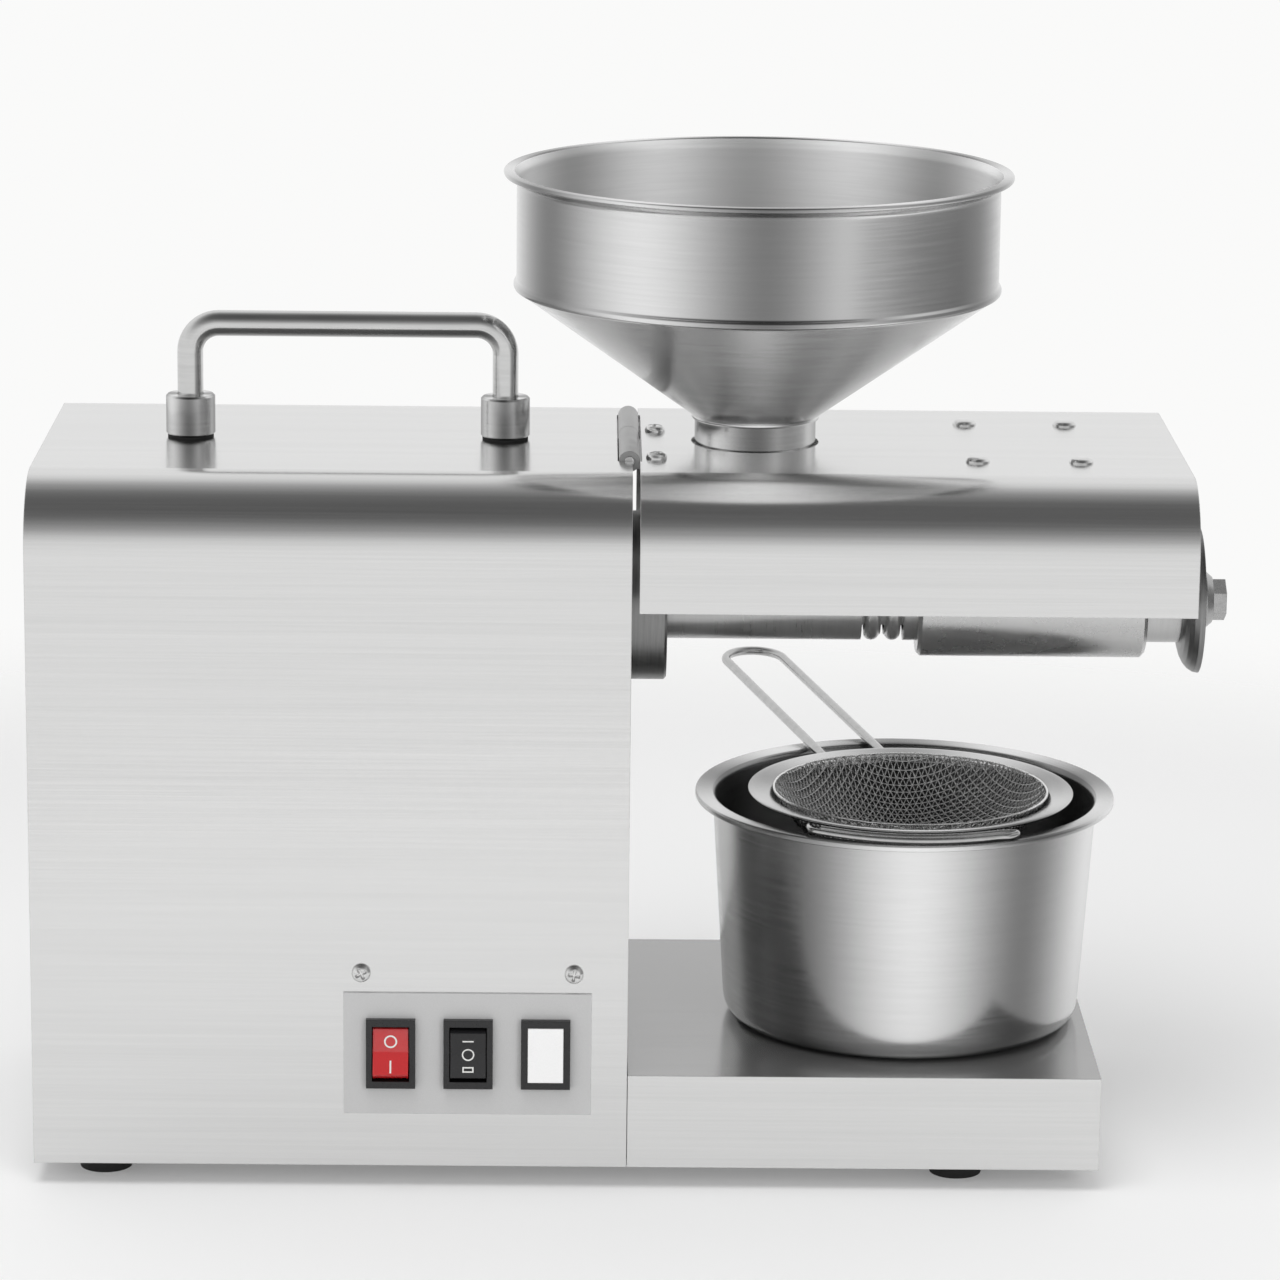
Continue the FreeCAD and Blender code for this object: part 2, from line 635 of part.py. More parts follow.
def inverted_u(low):
    """Corners of a folded sheet, open at its lower edge, in the YZ plane."""
    under = S.housing_top - S.sheet
    return [(-HALF, low), (-HALF, S.housing_top), (HALF, S.housing_top), (HALF, low),
            (INNER_HALF, low), (INNER_HALF, under), (-INNER_HALF, under), (-INNER_HALF, low)]


def round_folds(body, height, radius):
    """Round the two long edges at a height."""
    round_edges(body, radius, lambda edge, middle: along_x(edge) and near(middle.z, height))


def folded_sheet(low, length):
    """Sheet with the machine's rounded front and back folds."""
    body = folded(inverted_u(low), length)
    round_folds(body, S.housing_top, S.fold_radius)
    round_folds(body, S.housing_top - S.sheet, S.fold_radius - S.sheet)
    return body


def end_wall(low, inset, thickness):
    """Wall that fills the end of a folded sheet."""
    top = S.housing_top - S.sheet - inset
    body = folded(arch(INNER_HALF - inset, low, top), thickness)
    round_folds(body, top, S.fold_radius - S.sheet - inset)
    return body


# ------------------------------------------------------------------------------ housing and base
def switch_x(index):
    """Centre of one of the three switches."""
    return PANEL_LEFT + S.switch_first + S.switch_pitch * index


def switch_openings(low_y, depth):
    """Cutters for the three switch bodies."""
    width = S.switch_body_width + 2 * S.loose
    height = S.switch_body_height + 2 * S.loose
    return [box(width, depth, height, switch_x(index) - width / 2, low_y,
                S.switch_level - height / 2) for index in range(3)]


def board_screw_places():
    """X of the two screws that hold the control board."""
    first = PANEL_LEFT + S.board_screw_inset
    last = PANEL_LEFT + S.panel_length - S.board_screw_inset
    return first, last


def inlet_screw_places():
    """X of the two screws that hold the power inlet."""
    return S.inlet_x - S.inlet_screw_pitch / 2, S.inlet_x + S.inlet_screw_pitch / 2


def end_screw_places():
    """(y, z) of the four screws of the left end cover."""
    return [(side * S.end_screw_reach, level)
            for side in (-1, 1) for level in (S.end_screw_low, END_SCREW_HIGH)]


def hinge_notch(x, length):
    """Cutter that makes room for the hinge knuckles."""
    depth = S.hinge_radius + 2 * S.apart
    return box(length, S.hinge_length + 2 * S.apart, 2 * depth,
               x, HINGE_FRONT - S.apart, HINGE_Z - depth)


def housing_shell():
    """Front, top and back of the housing, folded from one sheet."""
    tab_width = INNER_HALF - S.end_screw_reach + S.tab_size / 3
    tabs = []
    for side, level in end_screw_places():
        inner = side.number > 0
        start = INNER_HALF - tab_width if inner else -INNER_HALF
        tabs.append(box(S.sheet, tab_width, S.tab_size, S.sheet, start, level - S.tab_size / 2))
    body = fuse([folded_sheet(S.floor_gap, S.housing_length)] + tabs)
    hole = S.screw_radius + S.loose
    tools = [rod(hole, 4 * S.sheet, 0, y, z, "+X") for y, z in end_screw_places()]
    for leg in range(2):
        x = S.handle_left + leg * S.handle_span
        tools.append(rod(S.handle_bolt + S.loose, 3 * S.sheet, x, 0, S.housing_top - 2 * S.sheet))
    tools += switch_openings(-HALF - S.sheet, 3 * S.sheet)
    for x in board_screw_places():
        tools.append(rod(hole, 3 * S.sheet, x, -HALF - S.sheet, S.board_screw_level, "+Y"))
    for x in inlet_screw_places():
        tools.append(rod(hole, 3 * S.sheet, x, HALF + S.sheet, S.inlet_level, "-Y"))
    tools.append(box(S.inlet_width + 2 * S.loose, 3 * S.sheet, S.inlet_height + 2 * S.loose,
                     S.inlet_x - S.inlet_width / 2 - S.loose, HALF - 2 * S.sheet,
                     S.inlet_level - S.inlet_height / 2 - S.loose))
    notch = S.hinge_radius + S.apart + S.hinge_offset
    tools.append(hinge_notch(END_FACE - notch, notch + S.sheet))
    finish(cut(body, tools), "housing_shell")


def left_end_cover():
    """Removable end cover with vent slots over the motor's fan."""
    wall = end_wall(PLATE_TOP, S.seam, S.sheet)
    flange = box(S.flange_depth, 2 * (INNER_HALF - S.seam), S.sheet,
                 0, -(INNER_HALF - S.seam), PLATE_TOP)
    tools = [rod(S.screw_radius + S.loose, 3 * S.sheet, -S.sheet, y, z, "+X")
             for y, z in end_screw_places()]
    for index in range(S.vent_count.number.__int__()):
        tools.append(box(3 * S.sheet, S.vent_length, S.vent_height, -S.sheet,
                         -S.vent_length / 2, S.vent_low + index * S.vent_pitch))
    finish(cut(fuse([wall, flange]), tools), "left_end_cover")


def end_cover_screws():
    """Four screws that hold the left end cover to the housing's tabs."""
    screws = [fastener(S.screw_head, S.screw_dome, S.screw_radius, S.screw_grip, (0, y, z), "+X")
              for y, z in end_screw_places()]
    finish(group(screws), "end_cover_screws")


def seat_screw_places():
    """(y, z) of the four screws between gearbox and barrel seat."""
    step = (S.barrel_radius + S.seat_radius) / 2 * math.sqrt(0.5)
    return [(side * step, PRESS_LEVEL + rise * step) for side in (-1, 1) for rise in (-1, 1)]


def right_end_plate():
    """End plate of the housing that the gearbox and the barrel seat are bolted to."""
    wall = end_wall(PLATE_TOP, S.seam, S.sheet)
    flange = box(S.flange_depth, 2 * (INNER_HALF - S.seam), S.sheet,
                 S.sheet - S.flange_depth, -(INNER_HALF - S.seam), PLATE_TOP)
    wall.Placement.Base = FreeCAD.Vector(0, 0, 0)
    cover_foot = box(S.front_plate + 2 * S.seam, 2 * S.plate_reach + 2 * S.seam, S.sheet,
                     -S.front_plate - S.seam, -S.plate_reach - S.seam, PLATE_TOP)
    tools = [rod(S.output_shaft + 2, 3 * S.sheet, -S.sheet, 0, PRESS_LEVEL, "+X")]
    tools += [rod(S.screw_radius + S.loose, 3 * S.sheet, -S.sheet, y, z, "+X")
              for y, z in seat_screw_places()]
    tools.append(hinge_notch(-S.sheet, 3 * S.sheet))
    body = cut(fuse([wall, cut(flange, [cover_foot])]), tools)
    finish(body, "right_end_plate", END_FACE - S.sheet)


def foot_places():
    """(x, y) of the four feet."""
    right = BASE_END - S.foot_right_inset
    return [(x, side * S.foot_reach) for x in (S.foot_inset, right) for side in (-1, 1)]


def base_plate():
    """Steel plate under the housing and the base; it carries everything."""
    reach = HALF - S.base_sheet - S.seam
    plate = box(BASE_END - S.base_sheet - S.seam, 2 * reach, S.plate_thickness,
                0, -reach, S.floor_gap)
    tools = [rod(S.foot_screw_radius + S.loose, 3 * S.plate_thickness, x, y,
                 S.floor_gap - S.plate_thickness) for x, y in foot_places()]
    finish(cut(plate, tools), "base_plate")


def base_tray():
    """Folded base that carries the oil pot, open below."""
    start = END_FACE + S.seam
    outer = box(BASE_END - start, 2 * HALF, S.base_top - S.floor_gap, start, -HALF, S.floor_gap)
    inner = box(BASE_END - start, 2 * (HALF - S.base_sheet), S.base_top - S.floor_gap,
                start - S.base_sheet, -(HALF - S.base_sheet), S.floor_gap - S.base_sheet)
    finish(cut(outer, [inner]), "base_tray")


def rubber_feet():
    """Four rubber feet with a recess for their screws."""
    feet = []
    for x, y in foot_places():
        foot = cone(S.foot_radius - S.foot_taper, S.foot_radius, S.floor_gap, x, y, 0)
        feet.append(cut(foot, [
            rod(S.foot_screw_head + S.loose, S.foot_recess, x, y, 0),
            rod(S.foot_screw_radius + S.loose, S.floor_gap, x, y, 0)]))
    finish(group(feet), "rubber_feet")


def foot_screws():
    """Four screws that hold the feet to the base plate."""
    screws = []
    for x, y in foot_places():
        grip = S.floor_gap - S.foot_recess + S.plate_thickness + S.screw_dome
        screws.append(fastener(S.foot_screw_head, S.screw_dome, S.foot_screw_radius, grip,
                               (x, y, S.foot_recess), "+Z"))
    finish(group(screws), "foot_screws")


# ------------------------------------------------------------------------------- carrying handle
def handle_tube():
    """Bent handle rod, bored at both ends for its bolts."""
    straight = S.handle_rise - S.handle_bend
    parts = [
        rod(S.handle_rod, straight - S.gasket_height, 0, 0, S.gasket_height),
        quarter_bend(S.handle_bend, S.handle_rod, S.handle_bend, 0, straight, 90),
        rod(S.handle_rod, S.handle_span - 2 * S.handle_bend, S.handle_bend, 0, S.handle_rise, "+X"),
        quarter_bend(S.handle_bend, S.handle_rod, S.handle_span - S.handle_bend, 0, straight, 0),
        rod(S.handle_rod, straight - S.gasket_height, S.handle_span, 0, S.gasket_height),
    ]
    bores = [rod(S.handle_bolt + S.loose, S.handle_bolt_grip + S.loose, leg * S.handle_span, 0, 0)
             for leg in range(2)]
    finish(cut(fuse(parts), bores), "handle_tube", S.handle_left, 0, S.housing_top)


def handle_ferrule(label, leg):
    """Turned ferrule at the foot of a handle leg."""
    edge = S.ferrule_edge
    height = S.ferrule_height - 2 * edge
    body = fuse([
        cone(S.ferrule_radius - edge, S.ferrule_radius, edge, 0, 0, 0),
        rod(S.ferrule_radius, height, 0, 0, edge),
        cone(S.ferrule_radius, S.ferrule_radius - edge, edge, 0, 0, edge + height),
    ])
    bore = rod(S.handle_rod + S.loose, S.ferrule_height, 0, 0, 0)
    finish(cut(body, [bore]), label, S.handle_left + leg * S.handle_span, 0,
           S.housing_top + S.gasket_height)


def handle_gaskets():
    """Thin gaskets between the ferrules and the housing."""
    rings = []
    for leg in range(2):
        x = leg * S.handle_span
        rings.append(cut(
            rod(S.ferrule_radius - S.gasket_inset, S.gasket_height, x, 0, 0),
            [rod(S.handle_bolt + S.loose, S.gasket_height, x, 0, 0)]))
    finish(group(rings), "handle_gaskets", S.handle_left, 0, S.housing_top)


def handle_bolts():
    """Bolts from inside the housing up into the handle's legs."""
    bolts = [fastener(S.handle_bolt_head, S.screw_dome, S.handle_bolt,
                      S.handle_bolt_grip + S.sheet, (leg * S.handle_span, 0, 0), "+Z")
             for leg in range(2)]
    finish(group(bolts), "handle_bolts", S.handle_left, 0, S.housing_top - S.sheet)


# ------------------------------------------------------------------------------------- the hinge
LEAF_TOP = S.housing_top - S.sheet - HINGE_Z
LEAF_START = S.hinge_radius + S.apart


def hinge_leaf(side, knuckle_start, knuckle_end, bore):
    """Hinge leaf on one side of the pin, with its knuckle; the pin's axis is the local Y axis."""
    low = LEAF_TOP - S.hinge_leaf
    width = S.hinge_leaf_width - LEAF_START
    leaf_x = LEAF_START if side > 0 else -LEAF_START - width
    tongue_x = as_size(0) if side > 0 else -LEAF_START
    length = knuckle_end - knuckle_start
    parts = [
        box(width, S.hinge_length, S.hinge_leaf, leaf_x, HINGE_FRONT, low),
        box(LEAF_START, length, S.hinge_leaf, tongue_x, knuckle_start, low),
        rod(S.hinge_radius, length, 0, knuckle_start, 0, "+Y"),
    ]
    return fuse(parts), rod(bore, length, 0, knuckle_start, 0, "+Y")


def hinge_leaf_housing():
    """Leaf welded under the housing's top, with the rear knuckle."""
    leaf, bore = hinge_leaf(-1, S.hinge_split + S.apart / 2, HINGE_REAR, S.hinge_pin + S.running)
    finish(cut(leaf, [bore]), "hinge_leaf_housing", HINGE_X, 0, HINGE_Z)


def hinge_screw_places():
    """Y of the two screws of the cover's hinge leaf."""
    return S.hinge_screw_front, S.hinge_screw_rear


def hinge_leaf_cover():
    """Leaf under the cover's top, with the front knuckle."""
    leaf, bore = hinge_leaf(1, HINGE_FRONT, S.hinge_split - S.apart / 2, S.hinge_pin + S.running)
    holes = [rod(S.screw_radius + S.loose, 3 * S.hinge_leaf, S.hinge_screw_out, y,
                 LEAF_TOP - 2 * S.hinge_leaf) for y in hinge_screw_places()]
    finish(cut(leaf, [bore] + holes), "hinge_leaf_cover", HINGE_X, 0, HINGE_Z)


def hinge_pin():
    """Pin through both knuckles."""
    finish(rod(S.hinge_pin, S.hinge_length, 0, HINGE_FRONT, 0, "+Y"), "hinge_pin",
           HINGE_X, 0, HINGE_Z)
    NODES[-1].Placement.Rotation = TURN["+Y"]
    bind_base(NODES[-1], HINGE_X - ORIGIN_X, HINGE_FRONT - ORIGIN_Y, HINGE_Z)


def hinge_screws():
    """Two pan screws that hold the cover to its hinge leaf."""
    screws = [fastener(S.hinge_screw_head, S.screw_dome, S.screw_radius, S.screw_grip,
                       (HINGE_X + S.hinge_screw_out, y, S.housing_top), "-Z")
              for y in hinge_screw_places()]
    finish(group(screws), "hinge_screws")


# ------------------------------------------------------------------------- cover over the barrel
RIVET_X = COVER_START + S.cover_length - S.rivet_inset - S.rivet_pitch


def rivet_places():
    """(x, y) of the four rivets in the cover's top."""
    return [(RIVET_X + column * S.rivet_pitch, side * S.rivet_reach)
            for column in range(2) for side in (-1, 1)]


def chamber_cover():
    """Hinged cover over the barrel, folded like the housing, with an end wall on the right."""
    sheet = folded_sheet(COVER_SKIRT, S.cover_length)
    wall = end_wall(COVER_SKIRT, as_size(0), S.sheet)
    wall.Placement.Base = FreeCAD.Vector(S.cover_length.number - S.sheet.number, 0, 0)
    bind_base(wall, S.cover_length - S.sheet, 0, 0)
    under = S.housing_top - 2 * S.sheet
    tools = [
        rod(S.neck_radius + S.neck_hole_gap, 3 * S.sheet, HOPPER_X - COVER_START, 0, under),
        rod(S.barrel_radius + S.cover_notch_gap, 3 * S.sheet, S.cover_length - 2 * S.sheet, 0,
            PRESS_LEVEL, "+X"),
        hinge_notch(-S.sheet, S.sheet + HINGE_X + S.hinge_radius + 2 * S.apart - COVER_START),
    ]
    for y in hinge_screw_places():
        tools.append(rod(S.screw_radius + S.loose, 3 * S.sheet,
                         HINGE_X + S.hinge_screw_out - COVER_START, y, under))
    for x, y in rivet_places():
        tools.append(rod(S.rivet_radius + S.loose, 3 * S.sheet, x - COVER_START, y, under))
    finish(cut(fuse([sheet, wall]), tools), "chamber_cover", COVER_START)


SHIELD_TOP = S.housing_top - S.sheet - S.shield_drop


def heat_shield():
    """Plate under the cover's top that keeps the heater's warmth off it, on four bosses."""
    margin = S.shield_margin
    length = S.rivet_pitch + 2 * margin
    width = 2 * (S.rivet_reach + margin)
    low = SHIELD_TOP - S.shield_sheet
    parts = [box(length, width, S.shield_sheet, RIVET_X - margin, -width / 2, low)]
    for side in (0, 1):
        y = -width / 2 + side * (width - S.shield_sheet)
        parts.append(box(length, S.shield_sheet, S.flange_depth / 2, RIVET_X - margin, y,
                         low - S.flange_depth / 2))
    tools = []
    for x, y in rivet_places():
        parts.append(rod(S.rivet_head, S.shield_drop, x, y, SHIELD_TOP))
        tools.append(rod(S.rivet_radius + S.loose, S.shield_drop + 2 * S.shield_sheet, x, y,
                         low - S.shield_sheet / 2))
    finish(cut(fuse(parts), tools), "heat_shield")


def cover_rivets():
    """Four rivets through the cover's top and the heat shield, headed at both ends."""
    rivets = []
    for x, y in rivet_places():
        grip = S.sheet + S.shield_drop + S.shield_sheet
        rivets.append(fuse([
            fastener(S.rivet_head, S.rivet_dome, S.rivet_radius, grip, (x, y, S.housing_top), "-Z"),
            rod(S.rivet_head * 0.8, S.rivet_dome / 2, x, y, S.housing_top - grip, "-Z"),
        ]))
    finish(group(rivets), "cover_rivets")


# ----------------------------------------------------------------------------- hopper and throat
BOWL_LOW = HOPPER_TOP - S.hopper_wall
CONE_SLOPE = (BOWL_LOW - NECK_HIGH) / (S.hopper_radius - S.neck_radius)


def hopper_bowl():
    """Straight wall of the hopper with its flared rim and the bead at its seam."""
    outer = S.hopper_radius
    inner = outer - S.hopper_sheet
    top = HOPPER_TOP
    flare = S.hopper_rim - outer
    corners = [
        (inner, BOWL_LOW), (outer + S.hopper_bead, BOWL_LOW),
        (outer + S.hopper_bead, BOWL_LOW + S.hopper_bead_height * 0.5),
        (outer, BOWL_LOW + S.hopper_bead_height), (outer, top - flare * 0.9),
        (outer + flare * 0.3, top - flare * 0.45), (S.hopper_rim - S.hopper_sheet, top - flare * 0.3),
        (S.hopper_rim, top - flare * 0.15), (S.hopper_rim, top), (outer + flare * 0.35, top),
        (outer, top - flare * 0.15), (inner, top - flare * 0.6),
    ]
    finish(turned(corners), "hopper_bowl", HOPPER_X)


def hopper_cone():
    """Cone of the hopper with the neck that drops into the feed throat."""
    sheet = S.hopper_sheet
    lean = sheet * root(1 + CONE_SLOPE * CONE_SLOPE) / CONE_SLOPE
    inner_neck = S.neck_radius - sheet
    inner_start = BOWL_LOW - (S.hopper_radius - lean - inner_neck) * CONE_SLOPE
    corners = [
        (S.hopper_radius - lean, BOWL_LOW), (S.hopper_radius, BOWL_LOW),
        (S.neck_radius, NECK_HIGH), (S.neck_radius, NECK_LOW), (inner_neck, NECK_LOW),
        (inner_neck, inner_start),
    ]
    finish(turned(corners), "hopper_cone", HOPPER_X)


def feed_throat():
    """Cup and funnel that lead the seeds from the hopper's neck into the barrel."""
    cup = S.neck_radius + S.apart
    wall = S.throat_wall
    seat = NECK_LOW - S.apart
    ledge = S.neck_radius - 2 * S.hopper_sheet
    drop = (ledge - S.throat_bore) * 0.6
    corners = [
        (S.throat_bore, PRESS_LEVEL), (S.throat_foot, PRESS_LEVEL),
        (S.throat_foot, seat - wall - drop), (cup + wall, seat - wall),
        (cup + wall, seat + S.throat_lip), (cup, seat + S.throat_lip), (cup, seat), (ledge, seat),
        (S.throat_bore, seat - drop),
    ]
    saddle = rod(S.barrel_radius + S.loose, 4 * cup, -2 * cup, 0, PRESS_LEVEL, "+X")
    finish(cut(turned(corners), [saddle]), "feed_throat", HOPPER_X)


# -------------------------------------------------------------------------------- seat and barrel
def press_seat():
    """Flange on the housing's end plate that the barrel is held in."""
    edge = S.seat_edge
    body = fuse([
        rod(S.seat_radius, S.seat_length - edge, 0, 0, 0, "+X"),
        cone(S.seat_radius, S.seat_radius - edge, edge, S.seat_length - edge, 0, 0, "+X"),
    ])
    tools = [
        rod(S.output_shaft + 2, S.seat_length, 0, 0, 0, "+X"),
        rod(S.barrel_radius + S.loose, S.seat_length, S.seat_floor, 0, 0, "+X"),
    ]
    tools += [rod(S.screw_radius + S.loose, S.seat_length * 0.75, 0, y, z - PRESS_LEVEL, "+X")
              for y, z in seat_screw_places()]
    finish(cut(body, tools), "press_seat", END_FACE, 0, PRESS_LEVEL)


def seat_screws():
    """Four screws from inside the gearbox into the barrel seat."""
    grip = S.front_plate + S.sheet + S.seat_length * 0.6
    screws = [fastener(S.screw_head, S.screw_dome, S.screw_radius, grip, (FRONT_PLATE_X, y, z), "+X")
              for y, z in seat_screw_places()]
    finish(group(screws), "seat_screws")


def drain_ring(x):
    """Rounded rib of the barrel's drain part."""
    item = DOC.addObject("Part::Torus", "Rib")
    bind(item, "Radius1", S.barrel_radius - S.drain_rib)
    bind(item, "Radius2", S.drain_rib)
    item.Placement.Rotation = TURN["+X"]
    bind_base(item, x, 0, 0)
    return item


def press_barrel():
    """Barrel with its feed hole, the ribbed drain part and the nose beyond the heater."""
    start = END_FACE + S.seat_floor
    ribs_end = DRAIN_START + S.drain_count * S.drain_pitch
    parts = [
        rod(S.barrel_radius, DRAIN_START - start, start, 0, 0, "+X"),
        rod(S.barrel_bore + S.drain_wall, ribs_end - start, start, 0, 0, "+X"),
        rod(S.barrel_radius, BARREL_END - ribs_end, ribs_end, 0, 0, "+X"),
    ]
    tools = [
        rod(S.barrel_bore, BARREL_END - start, start, 0, 0, "+X"),
        rod(S.throat_bore, 2 * S.barrel_radius, HOPPER_X, 0, 0),
    ]
    ribs = S.drain_count.number.__int__()
    for index in range(ribs):
        parts.append(drain_ring(DRAIN_START + (index + 0.5) * S.drain_pitch))
    for index in range(ribs + 1):
        shift = (S.drain_slot * 0.5) * (1 - 2 * index / ribs)
        tools.append(box(S.drain_slot, 2 * S.barrel_radius, S.barrel_radius,
                         DRAIN_START + index * S.drain_pitch - S.drain_slot / 2 + shift,
                         -S.barrel_radius, -1.5 * S.barrel_radius))
    finish(cut(fuse(parts), tools), "press_barrel", 0, 0, PRESS_LEVEL)


def heater_sleeve():
    """Band heater clamped round the barrel's outlet end."""
    edge = S.sleeve_edge
    inner = S.sleeve_radius - edge
    body = fuse([
        cone(inner, S.sleeve_radius, edge, 0, 0, 0, "+X"),
        rod(S.sleeve_radius, S.sleeve_length - 2 * edge, edge, 0, 0, "+X"),
        cone(S.sleeve_radius, inner, edge, S.sleeve_length - edge, 0, 0, "+X"),
    ])
    bore = rod(S.barrel_radius + S.loose, S.sleeve_length, 0, 0, 0, "+X")
    finish(cut(body, [bore]), "heater_sleeve", SLEEVE_START, 0, PRESS_LEVEL)


def cake_guard():
    """Bell-shaped guard that turns the cake away from the barrel's end."""
    steps = 6
    rise = S.guard_radius - S.barrel_radius
    outer = []
    inner = []
    for index in range(steps + 1):
        angle = math.radians(90 * index / steps)
        run = 1 - math.cos(angle)
        outer.append((S.guard_length * run, S.barrel_radius + rise * math.sin(angle)))
        inner.append((S.guard_wall + (S.guard_length - S.guard_wall) * run,
                      S.barrel_radius - S.guard_wall + rise * math.sin(angle)))
    mouth = [(S.guard_wall, S.barrel_bore + S.guard_wall), (0, S.barrel_bore + S.guard_wall / 2)]
    finish(turned(outer + inner[:0:-1] + mouth, "H_Axis"), "cake_guard", BARREL_END, 0,
           PRESS_LEVEL)


# ------------------------------------------------------------------------------------- the worm
WORM_START = SEAT_END + S.loose
WORM_OUTER = S.barrel_bore - S.worm_play


def helical_flight(start, turns, pitch, foot_radius, edge_radius, foot, edge):
    """Flight of a screw along +X: a trapezoid carried along a helix."""
    length = turns * pitch
    helix = Part.makeLongHelix(pitch, length, foot_radius)
    profile = Part.makePolygon([
        FreeCAD.Vector(foot_radius, 0, -foot / 2), FreeCAD.Vector(edge_radius, 0, -edge / 2),
        FreeCAD.Vector(edge_radius, 0, edge / 2), FreeCAD.Vector(foot_radius, 0, foot / 2),
        FreeCAD.Vector(foot_radius, 0, -foot / 2)])
    flight = Part.Wire(helix.Edges).makePipeShell([profile], True, True)
    flight.rotate(FreeCAD.Vector(0, 0, 0), FreeCAD.Vector(0, 1, 0), 90)
    flight.translate(FreeCAD.Vector(start, 0, 0))
    return flight


def press_worm():
    """Press worm: hexagonal tang, tapered root with one flight, pressing cone and tail."""
    axis = FreeCAD.Vector(1, 0, 0)
    lead_in = S.worm_lead_in.number
    turns = S.worm_turns.number
    pitch = S.worm_pitch.number
    flight_start = lead_in + pitch / 2
    root_length = (BARREL_END - WORM_START).number
    tail_length = (NUT_END - BARREL_END).number - S.loose.number
    tang = Part.Face(Part.makePolygon([
        FreeCAD.Vector(0, S.worm_tang.number * math.cos(math.radians(60 * k)),
                       S.worm_tang.number * math.sin(math.radians(60 * k)))
        for k in range(7)])).extrude(FreeCAD.Vector(-S.tang_length.number, 0, 0))
    root_cone = Part.makeCone(S.worm_root_start.number, S.worm_root_end.number,
                              root_length - S.guard_length.number, FreeCAD.Vector(0, 0, 0), axis)
    plug = Part.makeCone(S.worm_root_end.number, S.worm_cone.number, S.guard_length.number,
                         FreeCAD.Vector(root_length - S.guard_length.number, 0, 0), axis)
    tail = Part.makeCylinder(S.worm_tail.number, tail_length, FreeCAD.Vector(root_length, 0, 0), axis)
    flight = helical_flight(flight_start, turns, pitch, S.worm_root_start.number * 0.8,
                            WORM_OUTER.number, S.worm_flight_foot.number, S.worm_flight.number)
    body = root_cone.fuse([plug, tail, tang, flight]).removeSplitter()
    finish(shaped(body), "press_worm", WORM_START, 0, PRESS_LEVEL)


def tail_nut():
    """Flanged nut on the worm's tail."""
    thickness = S.tail_flange_thickness
    corner = S.tail_hex / math.sqrt(3)
    body = fuse([
        rod(S.tail_flange, thickness * 0.4, 0, 0, 0, "+X"),
        cone(S.tail_flange, S.tail_flange * 0.8, thickness * 0.6, thickness * 0.4, 0, 0, "+X"),
        hexagon(corner, S.tail_hex_length, thickness, 0, 0, "+X"),
    ])
    bore = rod(S.worm_tail + S.running, NUT_END - NUT_START, 0, 0, 0, "+X")
    finish(cut(body, [bore]), "tail_nut", NUT_START, 0, PRESS_LEVEL)


# --------------------------------------------------------------------------------- gears, shafts
PRESSURE_ANGLE = math.radians(20)
BACKLASH = 0.16
ADDENDUM = 0.85
DEDENDUM = 1.3


def involute(angle):
    """Involute function of an angle in radians."""
    return math.tan(angle) - angle


def gear_shape(teeth, module, width, first_tooth):
    """Spur gear along +X from X = 0, with one tooth centred at first_tooth degrees from +Y."""
    pitch_radius = teeth * module / 2
    base_radius = pitch_radius * math.cos(PRESSURE_ANGLE)
    tip_radius = pitch_radius + ADDENDUM * module
    root_radius = pitch_radius - DEDENDUM * module
    half_tooth = math.pi / (2 * teeth) - BACKLASH * module / (2 * pitch_radius)
    flank_start = max(base_radius, root_radius + 0.3 * module)
    flank = []
    for step in range(4):
        radius = flank_start + (tip_radius - flank_start) * step / 3
        angle = (half_tooth + involute(PRESSURE_ANGLE)
                 - involute(math.acos(min(1, base_radius / radius))))
        flank.append((radius, angle))
    side = [(root_radius, flank[0][1] * 1.08)] + flank
    points = []
    for tooth in range(teeth):
        centre = math.radians(first_tooth) + 2 * math.pi * tooth / teeth
        for sign, order in ((-1, side), (1, side[::-1])):
            for radius, angle in order:
                turn = centre + sign * angle
                points.append(FreeCAD.Vector(0, radius * math.cos(turn), radius * math.sin(turn)))
    points.append(points[0])
    return Part.Face(Part.makePolygon(points)).extrude(FreeCAD.Vector(width, 0, 0))


def bored(shape, radius, start, length):
    """Shape with a round bore along X."""
    axis = FreeCAD.Vector(1, 0, 0)
    return shape.cut(Part.makeCylinder(radius, length, FreeCAD.Vector(start, 0, 0), axis))


def output_shaft():
    """Output shaft with the hexagonal socket that drives the worm."""
    start = REAR_PLATE_X
    shaft = rod(S.output_shaft, SEAT_END - start, 0, 0, 0, "+X")
    socket = hexagon(S.worm_tang + S.loose, S.tang_length + S.apart,
                     SEAT_END - start - S.tang_length - S.apart, 0, 0, "+X")
    socket.Placement.Rotation = TURN["+X"].multiply(FreeCAD.Rotation(FreeCAD.Vector(0, 0, 1), 90))
    finish(cut(shaft, [socket]), "output_shaft", start, 0, PRESS_LEVEL)


def output_gear():
    """Large gear on the output shaft, with its hub."""
    axis = FreeCAD.Vector(1, 0, 0)
    width = S.slow_face.number
    bore = S.output_shaft.number + S.running.number
    gear = gear_shape(S.teeth_output.number.__int__(), S.module_slow.number, width, -90)
    hub = Part.makeCylinder(bore * 1.6, width, FreeCAD.Vector(-width, 0, 0), axis)
    body = bored(gear.fuse(hub).removeSplitter(), bore, -width, 2 * width)
    finish(shaped(body), "output_gear", SLOW_X, 0, PRESS_LEVEL)


